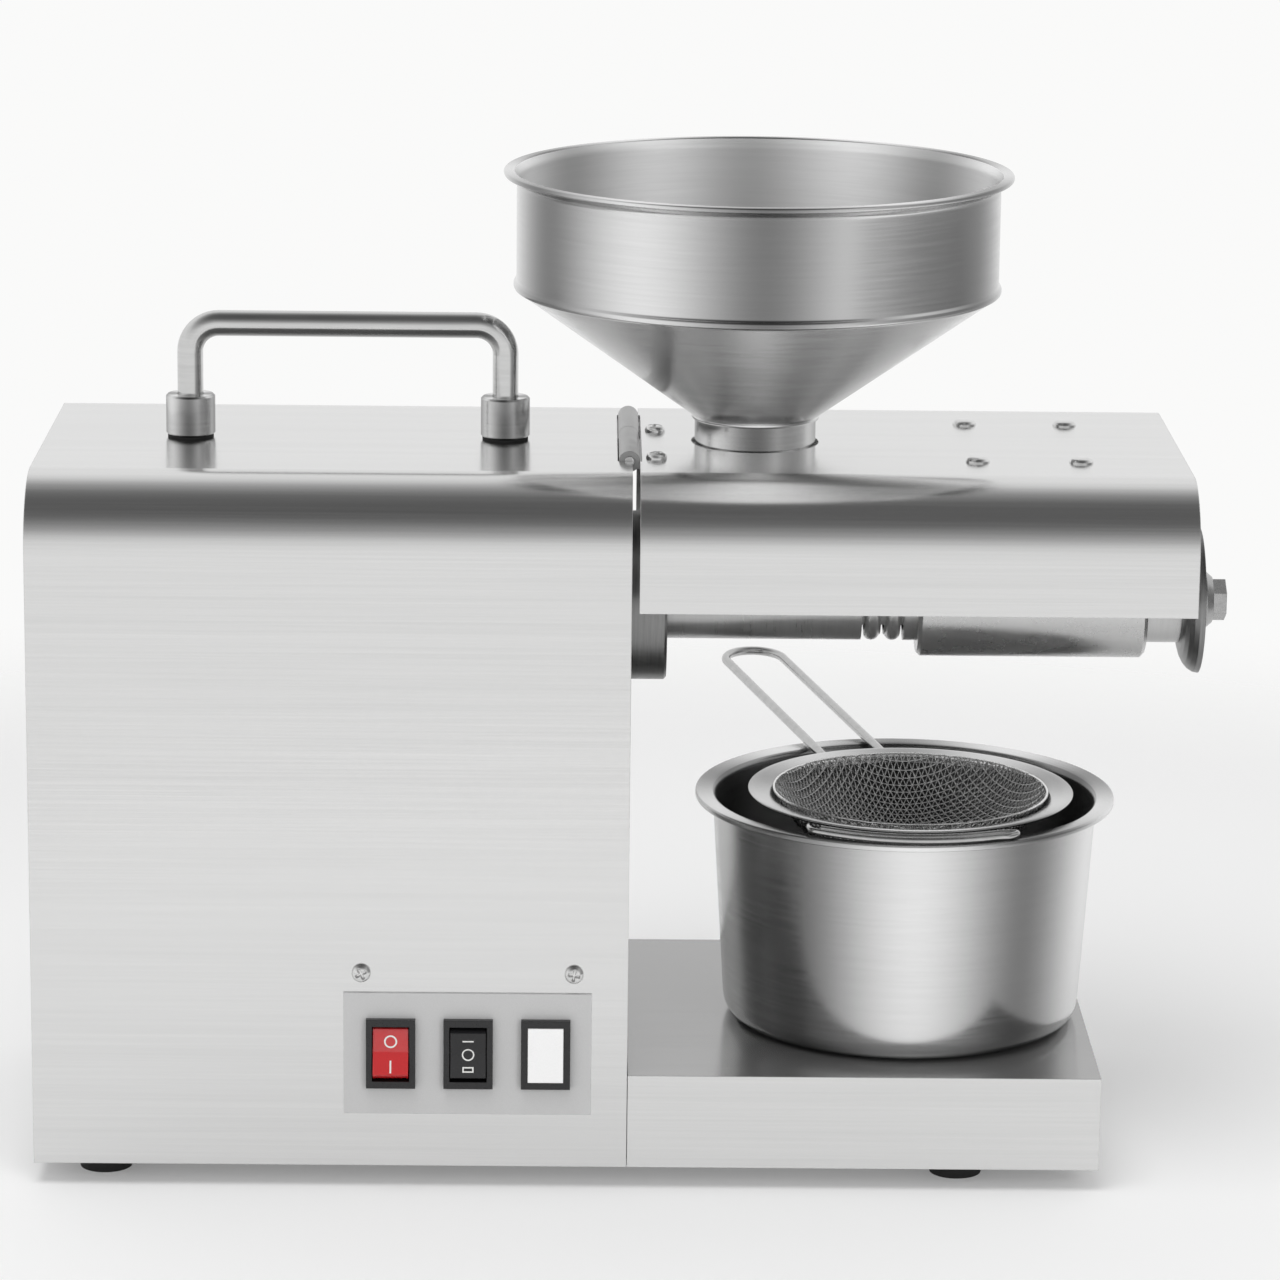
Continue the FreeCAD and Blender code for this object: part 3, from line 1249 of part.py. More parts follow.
def idler_pinion():
    """Idler shaft with the small gear that turns the output gear."""
    axis = FreeCAD.Vector(1, 0, 0)
    teeth = S.teeth_idler_pinion.number.__int__()
    start = (REAR_PLATE_X - SLOW_X).number
    length = (FRONT_PLATE_X + S.front_plate - REAR_PLATE_X).number
    shaft = Part.makeCylinder(S.idler_shaft.number, length, FreeCAD.Vector(start, 0, 0), axis)
    pinion = gear_shape(teeth, S.module_slow.number, S.slow_face.number, 90 + 180 / teeth)
    finish(shaped(pinion.fuse(shaft).removeSplitter()), "idler_pinion", SLOW_X, 0, IDLER_Z)


def idler_gear():
    """Large gear that the motor turns, on the idler shaft."""
    axis = FreeCAD.Vector(1, 0, 0)
    width = S.fast_face.number
    bore = S.idler_shaft.number + S.running.number
    gear = gear_shape(S.teeth_idler_gear.number.__int__(), S.module_fast.number, width, -90)
    hub = Part.makeCylinder(bore * 1.8, width, FreeCAD.Vector(width, 0, 0), axis)
    body = bored(gear.fuse(hub).removeSplitter(), bore, 0, 2 * width)
    finish(shaped(body), "idler_gear", FAST_X, 0, IDLER_Z)


def motor_rotor():
    """Motor shaft with its armature and the pinion cut on its end."""
    axis = FreeCAD.Vector(1, 0, 0)
    teeth = S.teeth_motor.number.__int__()
    fan_start = (MOTOR_START - S.fan_gap - S.fan_width - MOTOR_START).number
    pinion_start = (FAST_X - MOTOR_START).number
    pinion_end = pinion_start + S.fast_face.number
    radius = (S.motor_radius - S.motor_wall - S.motor_stator - S.motor_air_gap).number
    margin = S.stator_margin.number
    shaft = Part.makeCylinder(S.motor_shaft.number, pinion_end - fan_start,
                              FreeCAD.Vector(fan_start, 0, 0), axis)
    armature = Part.makeCylinder(radius, S.motor_length.number - 2 * margin,
                                 FreeCAD.Vector(margin, 0, 0), axis)
    pinion = gear_shape(teeth, S.module_fast.number, S.fast_face.number, 90 + 180 / teeth)
    pinion.translate(FreeCAD.Vector(pinion_start, 0, 0))
    finish(shaped(shaft.fuse([armature, pinion]).removeSplitter()), "motor_rotor",
           MOTOR_START, 0, MOTOR_Z)


def motor_fan():
    """Cooling fan on the motor's rear shaft end."""
    axis = FreeCAD.Vector(1, 0, 0)
    centre = FreeCAD.Vector(0, 0, 0)
    width = S.fan_width.number
    hub = Part.makeCylinder(S.fan_hub.number, width, centre, axis)
    backing = Part.makeCylinder(S.fan_radius.number * 0.92, S.fan_blade.number, centre, axis)
    blades = []
    count = S.fan_blades.number.__int__()
    for index in range(count):
        blade = Part.makeBox(width, S.fan_blade.number, S.fan_radius.number - S.fan_hub.number / 2,
                             FreeCAD.Vector(0, -S.fan_blade.number / 2, S.fan_hub.number / 2))
        blade.rotate(centre, axis, 360 * index / count)
        blades.append(blade)
    body = bored(hub.fuse([backing] + blades), S.motor_shaft.number + S.running.number, 0, width)
    finish(shaped(body.removeSplitter()), "motor_fan",
           MOTOR_START - S.fan_gap - S.fan_width, 0, MOTOR_Z)


def motor_case():
    """Motor case with closed ends and shaft bores."""
    case = rod(S.motor_radius, S.motor_length, 0, 0, 0, "+X")
    tools = [
        rod(S.motor_radius - S.motor_wall, S.motor_length - 2 * S.motor_wall, S.motor_wall, 0, 0,
            "+X"),
        rod(S.motor_shaft + S.running, S.motor_length, 0, 0, 0, "+X"),
    ]
    finish(cut(case, tools), "motor_case", MOTOR_START, 0, MOTOR_Z)


def motor_stator():
    """Stator pressed into the motor case."""
    outer = S.motor_radius - S.motor_wall - S.running
    length = S.motor_length - 2 * S.stator_margin
    ring = cut(rod(outer, length, 0, 0, 0, "+X"),
               [rod(S.motor_radius - S.motor_wall - S.motor_stator, length, 0, 0, 0, "+X")])
    finish(ring, "motor_stator", MOTOR_START + S.stator_margin, 0, MOTOR_Z)


BEARING_OUTPUT = S.output_shaft + S.bearing_ring
BEARING_IDLER = S.idler_shaft + S.bearing_ring


def gearbox_plate(label, x, thickness, tools):
    """Upright plate of the gearbox, standing on the base plate."""
    plate = box(thickness, 2 * S.plate_reach, GEARBOX_TOP - PLATE_TOP, 0, -S.plate_reach, PLATE_TOP)
    bores = [
        rod(BEARING_OUTPUT + S.running, thickness, 0, 0, PRESS_LEVEL, "+X"),
        rod(BEARING_IDLER + S.running, thickness, 0, 0, IDLER_Z, "+X"),
    ]
    finish(cut(plate, bores + tools), label, x)


def gearbox_plates():
    """Front plate behind the barrel seat and rear plate that carries the motor."""
    screws = [rod(S.screw_radius + S.loose, S.front_plate, 0, y, z, "+X")
              for y, z in seat_screw_places()]
    gearbox_plate("gearbox_front_plate", FRONT_PLATE_X, S.front_plate, screws)
    shaft = rod(S.motor_shaft + 1, S.rear_plate, 0, 0, MOTOR_Z, "+X")
    gearbox_plate("gearbox_rear_plate", REAR_PLATE_X, S.rear_plate, [shaft])


def gearbox_pillars():
    """Four pillars between the gearbox plates."""
    reach = S.plate_reach - S.pillar_inset
    levels = (PLATE_TOP + S.pillar_inset, GEARBOX_TOP - S.pillar_inset)
    pillars = [rod(S.pillar_radius, S.gearbox_length, 0, side * reach, level, "+X")
               for side in (-1, 1) for level in levels]
    finish(group(pillars), "gearbox_pillars", REAR_PLATE_X + S.rear_plate)


def gearbox_bearings():
    """Four bearings of the output and idler shafts, in the gearbox plates."""
    rings = []
    for x, thickness in ((REAR_PLATE_X, S.rear_plate), (FRONT_PLATE_X, S.front_plate)):
        for shaft, level in ((S.output_shaft, PRESS_LEVEL), (S.idler_shaft, IDLER_Z)):
            rings.append(cut(rod(shaft + S.bearing_ring, thickness, x, 0, level, "+X"),
                             [rod(shaft + S.running, thickness, x, 0, level, "+X")]))
    finish(group(rings), "gearbox_bearings")


# ----------------------------------------------------------------------------- switches and lamp
BEZEL_FRONT = PANEL_FACE - S.bezel_proud - ROCKER_PIN_Y


def switch_panel():
    """Grey plate on the housing's front that frames the switches."""
    plate = box(S.panel_length, S.panel_sheet, S.panel_height, PANEL_LEFT, PANEL_FACE,
                S.panel_low)
    finish(cut(plate, switch_openings(PANEL_FACE, S.panel_sheet)), "switch_panel")


def switch_case(front_wide, front_tall):
    """Bezel and body of a panel switch about its pin, with a front opening."""
    flange_back = PANEL_FACE - ROCKER_PIN_Y
    back = S.switch_body_depth - S.rocker_pin_depth
    flange = box(S.bezel_width, S.bezel_proud, S.bezel_height, -S.bezel_width / 2, BEZEL_FRONT,
                 -S.bezel_height / 2)
    body = box(S.switch_body_width, back - flange_back, S.switch_body_height,
               -S.switch_body_width / 2, flange_back, -S.switch_body_height / 2)
    blades = [box(S.terminal_width, S.terminal_length, S.terminal_sheet, -S.terminal_width / 2,
                  back, level * S.terminal_pitch - S.terminal_sheet / 2) for level in (-1, 0, 1)]
    opening = box(front_wide, -BEZEL_FRONT, front_tall, -front_wide / 2, BEZEL_FRONT,
                  -front_tall / 2)
    return fuse([flange, body] + blades), opening


def rocker_switch_body(label, index):
    """Body of a rocker switch: bezel, cavity for the rocker and bores for its pins."""
    wide = S.rocker_width + 2 * S.apart
    tall = 2 * (S.rocker_radius + S.apart)
    case, opening = switch_case(wide, tall)
    pins = S.rocker_width + 2 * (S.rocker_pin_reach + S.loose)
    tools = [
        opening,
        rod(S.rocker_radius + S.apart, wide, -wide / 2, 0, 0, "+X"),
        rod(S.rocker_pin + S.running, pins, -pins / 2, 0, 0, "+X"),
    ]
    finish(cut(case, tools), label, switch_x(index), ROCKER_PIN_Y, S.switch_level)


def rocker(label, index, tilt):
    """Rocker with a dished face, a round underside and its two pins."""
    width = S.rocker_width
    reach = 2 * S.rocker_radius
    dish = S.rocker_dish.number
    pins = width + 2 * S.rocker_pin_reach
    tools = [
        box(width, reach, reach, -width / 2, -S.rocker_face, 0, 90 + dish),
        box(width, reach, reach, -width / 2, -S.rocker_face, 0, 180 - dish),
        box(width, reach, 2 * reach, -width / 2, S.rocker_back, -reach),
    ]
    body = cut(rod(S.rocker_radius, width, -width / 2, 0, 0, "+X"), tools)
    item = fuse([body, rod(S.rocker_pin, pins, -pins / 2, 0, 0, "+X")])
    turn = FreeCAD.Rotation(FreeCAD.Vector(1, 0, 0), tilt)
    finish(item, label, switch_x(index), ROCKER_PIN_Y, S.switch_level, turn)


def lamp():
    """White indicator lamp beside the two switches."""
    lens_front = BEZEL_FRONT - S.panel_sheet / 2
    wide = S.lens_width + 2 * S.loose
    tall = S.lens_height + 2 * S.loose
    case, opening = switch_case(wide, tall)
    pocket = box(wide, S.lens_depth, tall, -wide / 2, lens_front, -tall / 2)
    finish(cut(case, [cut(opening, [box(wide, S.lens_depth, tall, -wide / 2,
                                        lens_front + S.lens_depth, -tall / 2)]), pocket]),
           "lamp_body", switch_x(2), ROCKER_PIN_Y, S.switch_level)
    lens = box(S.lens_width, S.lens_depth, S.lens_height, -S.lens_width / 2, lens_front,
               -S.lens_height / 2)
    finish(lens, "lamp_lens")
    NODES[-1].Placement.Base = FreeCAD.Vector(0, 0, 0)
    bind_base(NODES[-1], switch_x(2) - S.lens_width / 2 - ORIGIN_X,
              ROCKER_PIN_Y + lens_front - ORIGIN_Y, S.switch_level - S.lens_height / 2)


def board_screws():
    """Two screws above the panel that hold the control board's standoffs."""
    screws = [fastener(S.screw_head, S.screw_dome, S.screw_radius, S.screw_grip,
                       (x, -HALF, S.board_screw_level), "+Y") for x in board_screw_places()]
    finish(group(screws), "board_screws")


def board_standoffs():
    """Two threaded standoffs between the housing's front and the control board."""
    posts = []
    for x in board_screw_places():
        post = rod(S.standoff_radius, S.standoff_length, x, -INNER_HALF, S.board_screw_level, "+Y")
        bore = rod(S.screw_radius + S.running, S.standoff_length, x, -INNER_HALF,
                   S.board_screw_level, "+Y")
        posts.append(cut(post, [bore]))
    finish(group(posts), "board_standoffs")


def control_board():
    """Board that switches the motor and the heater."""
    first, last = board_screw_places()
    plate = box(last - first + 2 * S.board_margin, S.board_sheet, S.board_height,
                first - S.board_margin, -INNER_HALF + S.standoff_length + S.loose,
                S.board_screw_level - S.board_margin)
    finish(cut(plate, [rod(S.screw_radius / 2, S.board_sheet, first,
                           -INNER_HALF + S.standoff_length + S.loose,
                           S.board_screw_level, "+Y")]), "control_board")


def board_parts():
    """Relay, capacitor and terminal block on the control board."""
    first, last = board_screw_places()
    back = -INNER_HALF + S.standoff_length + S.loose + S.board_sheet
    low = S.board_screw_level + S.board_margin
    middle = (first + last) / 2
    finish(group([
        box(S.relay_side, S.relay_depth, S.relay_side, first, back, low),
        rod(S.capacitor_radius, S.relay_side, last - S.capacitor_radius, back, low + S.relay_side,
            "+Y"),
        box(S.terminal_block, S.relay_depth * 0.8, S.relay_side / 2,
            middle - S.terminal_block / 2, back, low + 1.6 * S.relay_side),
    ]), "board_parts")


# ------------------------------------------------------------------------------------ power inlet
def power_inlet():
    """Appliance inlet on the back, for a loose mains lead."""
    sheet = S.inlet_flange_sheet
    wide = S.inlet_width
    tall = S.inlet_height
    flange = S.inlet_screw_pitch + 2 * S.inlet_flange_margin
    body = fuse([
        box(flange, sheet, S.inlet_flange_height, -flange / 2, 0,
            -S.inlet_flange_height / 2),
        box(wide, S.inlet_depth, tall, -wide / 2, -S.inlet_depth, -tall / 2),
    ])
    wall = S.inlet_wall
    tools = [box(wide - 2 * wall, S.inlet_depth + sheet, tall - 2 * wall, wall - wide / 2,
                 2 * wall - S.inlet_depth, wall - tall / 2)]
    for side in (-1, 1):
        tools.append(rod(S.screw_radius + S.loose, sheet, side * S.inlet_screw_pitch / 2, 0, 0,
                         "+Y"))
    finish(cut(body, tools), "power_inlet", S.inlet_x, HALF, S.inlet_level)


def inlet_contacts():
    """Three flat contacts of the power inlet."""
    thick = S.inlet_pin_width
    tall = S.inlet_pin_height
    low = S.inlet_earth_rise / 2
    floor = 2 * S.inlet_wall - S.inlet_depth
    pins = [box(thick, S.inlet_pin_length, tall, place * S.inlet_pin_pitch - thick / 2, floor,
                level - tall / 2)
            for place, level in ((-1, low), (0, -low), (1, low))]
    finish(group(pins), "inlet_contacts", S.inlet_x, HALF, S.inlet_level)


def inlet_screws():
    """Two screws that hold the power inlet."""
    screws = [fastener(S.screw_head, S.screw_dome, S.screw_radius, S.screw_grip,
                       (x, HALF + S.inlet_flange_sheet, S.inlet_level), "-Y")
              for x in inlet_screw_places()]
    finish(group(screws), "inlet_screws")


# -------------------------------------------------------------------------------- pot and strainer
def oil_pot():
    """Pressed pot with a flat rolled rim."""
    sheet = S.pot_sheet
    top = S.pot_height
    foot = S.pot_foot_radius
    wall = S.pot_top_radius
    rim = S.pot_rim
    corners = [
        (0, 0), (foot, 0), (wall, top - sheet), (rim - sheet, top - sheet),
        (rim - sheet, top - S.pot_rim_drop), (rim, top - S.pot_rim_drop), (rim, top),
        (wall - sheet, top), (foot - sheet, sheet), (0, sheet),
    ]
    body = turned(corners)
    round_edges(body, S.pot_corner,
                lambda edge, middle: near(middle.z, 0) and near(math.hypot(middle.x, middle.y), foot))
    round_edges(body, S.pot_corner - sheet,
                lambda edge, middle: near(middle.z, sheet)
                and near(math.hypot(middle.x, middle.y), foot - sheet))
    round_edges(body, sheet * 0.8,
                lambda edge, middle: near(middle.z, top)
                and near(math.hypot(middle.x, middle.y), rim))
    finish(body, "oil_pot", POT_X, S.pot_y, POT_FLOOR)


def strainer_rim():
    """Flat rim of the strainer with its collar and the lug that rests on the pot."""
    sheet = S.strainer_sheet
    mouth = S.strainer_mouth
    collar = 3 * sheet
    ring = turned([(mouth, -collar), (mouth + sheet, -collar), (mouth + sheet, -sheet),
                   (S.strainer_rim, -sheet), (S.strainer_rim, 0), (mouth, 0)])
    start = (S.strainer_rim + mouth) / 2
    across = S.lug_width / 2
    lug = box(S.lug_reach - start, S.lug_width, STRAINER_TOP - POT_TOP - S.apart,
              start * cosine(S.lug_azimuth) + across * sine(S.lug_azimuth),
              start * sine(S.lug_azimuth) - across * cosine(S.lug_azimuth),
              POT_TOP + S.apart - STRAINER_TOP)
    lug.Placement.Rotation = FreeCAD.Rotation(FreeCAD.Vector(0, 0, 1), S.lug_azimuth.number)
    finish(fuse([ring, lug]), "strainer_rim", STRAINER_X, S.strainer_y, STRAINER_TOP)


def strainer_mesh():
    """Bowl of the strainer, hung in the rim's collar."""
    mouth = S.strainer_mouth - S.running
    depth = S.strainer_depth
    radius = (mouth * mouth + depth * depth) / (2 * depth)
    centre = radius - depth - S.strainer_sheet / 2
    outer = DOC.addObject("Part::Sphere", "Bowl")
    bind(outer, "Radius", radius)
    bind_base(outer, 0, 0, centre)
    inner = DOC.addObject("Part::Sphere", "Hollow")
    bind(inner, "Radius", radius - S.mesh_sheet)
    bind_base(inner, 0, 0, centre)
    above = rod(2 * radius, 3 * radius, 0, 0, -S.strainer_sheet / 2)
    finish(cut(outer, [inner, above]), "strainer_mesh", STRAINER_X, S.strainer_y, STRAINER_TOP)


def strainer_handle():
    """Handle of bent wire, from under the rim over the pot's edge."""
    bend = S.wire_spread / 2
    end = S.wire_reach - bend
    length = end - S.wire_start
    tip = DOC.addObject("Part::Torus", "Tip")
    bind(tip, "Radius1", bend)
    bind(tip, "Radius2", S.wire_radius)
    tip.Angle3 = 180
    tip.Placement.Rotation = FreeCAD.Rotation(FreeCAD.Vector(0, 0, 1), -90)
    bind_base(tip, end, 0, 0)
    wires = [rod(S.wire_radius, length, S.wire_start, side * bend, 0, "+X") for side in (-1, 1)]
    turn = FreeCAD.Rotation(FreeCAD.Vector(0, 0, 1), S.wire_azimuth.number).multiply(
        FreeCAD.Rotation(FreeCAD.Vector(0, 1, 0), -S.wire_rise.number))
    height = WIRE_ROOT - S.wire_start * sine(S.wire_rise)
    finish(fuse(wires + [tip]), "strainer_handle", STRAINER_X, S.strainer_y, height, turn)


def build():
    """Make every sub-part."""
    housing_shell()
    left_end_cover()
    end_cover_screws()
    right_end_plate()
    base_plate()
    base_tray()
    rubber_feet()
    foot_screws()
    handle_tube()
    handle_ferrule("handle_ferrule_left", 0)
    handle_ferrule("handle_ferrule_right", 1)
    handle_gaskets()
    handle_bolts()
    hinge_leaf_housing()
    hinge_leaf_cover()
    hinge_pin()
    hinge_screws()
    chamber_cover()
    heat_shield()
    cover_rivets()
    hopper_bowl()
    hopper_cone()
    feed_throat()
    press_seat()
    seat_screws()
    press_barrel()
    heater_sleeve()
    cake_guard()
    press_worm()
    tail_nut()
    output_shaft()
    output_gear()
    idler_pinion()
    idler_gear()
    motor_rotor()
    motor_fan()
    motor_case()
    motor_stator()
    gearbox_plates()
    gearbox_pillars()
    gearbox_bearings()
    switch_panel()
    rocker_switch_body("power_switch_body", 0)
    rocker_switch_body("direction_switch_body", 1)
    rocker("power_rocker", 0, -S.rocker_throw.number)
    rocker("direction_rocker", 1, 0)
    lamp()
    board_screws()
    board_standoffs()
    control_board()
    board_parts()
    power_inlet()
    inlet_contacts()
    inlet_screws()
    oil_pot()
    strainer_rim()
    strainer_mesh()
    strainer_handle()


def check_and_write():
    """Stop on any failed object, then write one STEP file for each sub-part."""
    DOC.recompute()
    for item in DOC.Objects:
        bad = [state for state in item.State if state in ("Invalid", "Error")]
        if bad:
            raise RuntimeError(f"{item.Label}: {bad}")
    os.makedirs(FOLDER, exist_ok=True)
    for item in NODES:
        shape = item.Shape
        if shape.isNull() or not shape.isValid() or not shape.Solids:
            raise RuntimeError(f"{item.Label}: no valid solid")
        shape.exportStep(os.path.join(FOLDER, f"{item.Label}.step"))
    print(len(NODES), "sub-parts written")


build()
check_and_write()
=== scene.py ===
"""Looks of the screw oil press: brushed sheet, polished hopper and pot, mesh strainer, switches."""
import bpy, bmesh, math
from mathutils import Matrix, Vector
from mathutils.bvhtree import BVHTree


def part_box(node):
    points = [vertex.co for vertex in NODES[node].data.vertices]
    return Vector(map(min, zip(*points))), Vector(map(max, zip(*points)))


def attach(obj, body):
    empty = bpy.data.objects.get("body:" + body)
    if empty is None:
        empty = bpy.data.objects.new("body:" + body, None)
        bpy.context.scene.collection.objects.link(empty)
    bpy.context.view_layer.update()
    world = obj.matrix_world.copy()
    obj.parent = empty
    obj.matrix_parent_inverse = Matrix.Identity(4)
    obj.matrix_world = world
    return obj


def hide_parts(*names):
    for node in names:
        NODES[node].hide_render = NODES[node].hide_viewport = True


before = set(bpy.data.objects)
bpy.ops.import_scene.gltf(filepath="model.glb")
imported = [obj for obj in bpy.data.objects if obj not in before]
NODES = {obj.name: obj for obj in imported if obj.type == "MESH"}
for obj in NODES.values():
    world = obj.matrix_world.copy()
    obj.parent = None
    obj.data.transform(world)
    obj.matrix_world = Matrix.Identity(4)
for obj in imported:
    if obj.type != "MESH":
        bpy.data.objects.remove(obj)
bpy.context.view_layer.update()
MM = 0.001


# ---------------------------------------------------------------- places read from the frame
def middle(node):
    """Centre of a node's box."""
    low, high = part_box(node)
    return (Vector(low) + Vector(high)) / 2


def islands(node):
    """Boxes (low, high) of the separate solids of a node, sorted by place."""
    work = bmesh.new()
    work.from_mesh(NODES[node].data)
    bmesh.ops.remove_doubles(work, verts=work.verts, dist=1e-6)
    seen = set()
    found = []
    for start in work.verts:
        if start.index in seen:
            continue
        stack = [start]
        seen.add(start.index)
        points = []
        while stack:
            vert = stack.pop()
            points.append(vert.co.copy())
            for edge in vert.link_edges:
                other = edge.other_vert(vert)
                if other.index not in seen:
                    seen.add(other.index)
                    stack.append(other)
        low = Vector([min(p[k] for p in points) for k in range(3)])
        high = Vector([max(p[k] for p in points) for k in range(3)])
        found.append((low, high))
    work.free()
    return sorted(found, key=lambda pair: tuple(round(v, 4) for v in pair[0]))


def surface(node):
    """Ray-cast tree of a node."""
    mesh = NODES[node].data
    return BVHTree.FromPolygons([v.co for v in mesh.vertices], [p.vertices for p in mesh.polygons])


# --------------------------------------------------------------------------------- materials
def gray(level):
    """Linear value of a display level from 0 to 255."""
    c = level / 255
    return c / 12.92 if c <= 0.04045 else ((c + 0.055) / 1.055) ** 2.4


def node_of(tree, kind, **values):
    """Add a node and set its properties and sockets."""
    item = tree.nodes.new(kind)
    for name, value in values.items():
        if hasattr(item, name):
            setattr(item, name, value)
        else:
            item.inputs[name.replace("_", " ")].default_value = value
    return item


def ramp_of(tree, source, stops, mode="LINEAR"):
    """Colour ramp of (place, value or colour) stops fed by a socket."""
    item = tree.nodes.new("ShaderNodeValToRGB")
    ramp = item.color_ramp
    ramp.interpolation = mode
    while len(ramp.elements) < len(stops):
        ramp.elements.new(0.5)
    for element, (place, value) in zip(ramp.elements, stops):
        colour = (value,) * 3 if not isinstance(value, tuple) else value
        element.position = place
        element.color = (*colour, 1)
    tree.links.new(source, item.inputs["Fac"])
    return item.outputs["Color"]


def blend(tree, kind, factor, a, b):
    """Mix two colours; each may be a socket or a colour."""
    item = tree.nodes.new("ShaderNodeMix")
    item.data_type = "RGBA"
    item.blend_type = kind
    for socket, value in ((item.inputs[0], factor), (item.inputs[6], a), (item.inputs[7], b)):
        if isinstance(value, bpy.types.NodeSocket):
            tree.links.new(value, socket)
        elif socket.type == "RGBA":
            socket.default_value = (*value, 1)
        else:
            socket.default_value = value
    return item.outputs[2]


def start_material(name, **shader):
    """New node material with its principled shader's constant sockets set."""
    material = bpy.data.materials.new(name)
    material.use_nodes = True
    tree = material.node_tree
    base = tree.nodes["Principled BSDF"]
    for socket, value in shader.items():
        base.inputs[socket.replace("_", " ")].default_value = value
    coord = tree.nodes.new("ShaderNodeTexCoord").outputs["Object"]
    return material, tree, base, coord


def streaks(tree, coord, scale, detail=5.0, rough=0.65):
    """Stretched noise for brushed metal; scale is lines per metre along each axis."""
    mapping = node_of(tree, "ShaderNodeMapping")
    mapping.inputs["Scale"].default_value = scale
    tree.links.new(coord, mapping.inputs["Vector"])
    noise = node_of(tree, "ShaderNodeTexNoise", Scale=1.0, Detail=detail, Roughness=rough)
    tree.links.new(mapping.outputs["Vector"], noise.inputs["Vector"])
    return noise.outputs["Fac"]


def relief(tree, base, height, strength, distance, edge=0.0):
    """Bump from a height socket, over softened edges when asked."""
    bump = node_of(tree, "ShaderNodeBump", Strength=strength, Distance=distance)
    tree.links.new(height, bump.inputs["Height"])
    if edge:
        bevel = node_of(tree, "ShaderNodeBevel", samples=4, Radius=edge)
        tree.links.new(bevel.outputs["Normal"], bump.inputs["Normal"])
    tree.links.new(bump.outputs["Normal"], base.inputs["Normal"])


def steel(name, tone, scale, rough=(0.2, 0.32), spread=0.1, bump=0.1, edge=0.0004, tint=None,
          facing_shade=None, metal=1.0):
    """Brushed or turned steel. facing_shade is a ramp of painted shade by how far a face points up or
    down, tint is the hue.
    """
    material, tree, base, coord = start_material(name, Metallic=metal)
    fine = streaks(tree, coord, scale)
    broad = streaks(tree, coord, [v * 0.12 for v in scale], 3.0, 0.5)
    hue = tint or (1.0, 1.0, 0.995)
    low = tuple(tone * (1 - spread) * h for h in hue)
    high = tuple(min(1, tone * (1 + spread)) * h for h in hue)
    colour = ramp_of(tree, fine, [(0.32, low), (0.68, high)])
    cloud = ramp_of(tree, broad, [(0.35, 0.975), (0.65, 1.0)])
    colour = blend(tree, "MULTIPLY", 1.0, colour, cloud)
    # painted shade: the base colour is darkened by the direction a face points
    if facing_shade is not None:
        geometry = tree.nodes.new("ShaderNodeNewGeometry")
        split = tree.nodes.new("ShaderNodeSeparateXYZ")
        tree.links.new(geometry.outputs["Normal"], split.inputs[0])
        shift = node_of(tree, "ShaderNodeMath", operation="MULTIPLY_ADD")
        tree.links.new(split.outputs["Z"], shift.inputs[0])
        shift.inputs[1].default_value = 0.5
        shift.inputs[2].default_value = 0.5
        shade = ramp_of(tree, shift.outputs[0], facing_shade)
        colour = blend(tree, "MULTIPLY", 1.0, colour, shade)
    tree.links.new(colour, base.inputs["Base Color"])
    tree.links.new(ramp_of(tree, fine, [(0.3, rough[0]), (0.7, rough[1])]), base.inputs["Roughness"])
    relief(tree, base, fine, bump, 0.00005, edge)
    return material


def painted_reflection_bands(count, low, high):
    """Even bands of painted reflection right round an axis: darker and brighter stops in turn."""
    step = 180 / count
    return [(-180 + k * step, high if k % 2 else low) for k in range(2 * count + 1)]


def steel_with_painted_reflections(name, centre, bands, rough=(0.16, 0.26), turn=(30, 30, 900), strength=0.95,
                 tone=1.0, metal=1.0):
    """Polished spun steel with soft bands of painted reflection round an upright axis: (degrees from
    the front, level).
    """
    material, tree, base, coord = start_material(name, Metallic=metal, Anisotropic=0.6)
    centred = node_of(tree, "ShaderNodeVectorMath", operation="SUBTRACT")
    tree.links.new(coord, centred.inputs[0])
    centred.inputs[1].default_value = (centre.x, centre.y, 0)
    split = tree.nodes.new("ShaderNodeSeparateXYZ")
    tree.links.new(centred.outputs[0], split.inputs[0])
    back = node_of(tree, "ShaderNodeMath", operation="MULTIPLY")
    tree.links.new(split.outputs["Y"], back.inputs[0])
    back.inputs[1].default_value = -1
    angle = node_of(tree, "ShaderNodeMath", operation="ARCTAN2")
    tree.links.new(split.outputs["X"], angle.inputs[0])
    tree.links.new(back.outputs[0], angle.inputs[1])
    share = node_of(tree, "ShaderNodeMath", operation="MULTIPLY_ADD")
    tree.links.new(angle.outputs[0], share.inputs[0])
    share.inputs[1].default_value = 0.5 / math.pi
    share.inputs[2].default_value = 0.5
    # painted reflections: the bands' light and dark levels go into the base colour by angle round the
    # axis, scaled by tone and mixed over plain grey by strength
    stops = [((degrees + 180) / 360, min(1, gray(level) * tone)) for degrees, level in bands]
    colour = ramp_of(tree, share.outputs[0], stops, "EASE")
    colour = blend(tree, "MIX", strength, (0.62, 0.62, 0.615), colour)
    fine = streaks(tree, coord, turn, 4.0, 0.6)
    fleck = ramp_of(tree, fine, [(0.3, 0.93), (0.7, 1.0)])
    colour = blend(tree, "MULTIPLY", 1.0, colour, fleck)
    tree.links.new(colour, base.inputs["Base Color"])
    tree.links.new(ramp_of(tree, fine, [(0.3, rough[0]), (0.7, rough[1])]), base.inputs["Roughness"])
    tangent = node_of(tree, "ShaderNodeTangent", direction_type="RADIAL", axis="Z")
    tree.links.new(tangent.outputs[0], base.inputs["Tangent"])
    relief(tree, base, fine, 0.05, 0.00003)
    return material


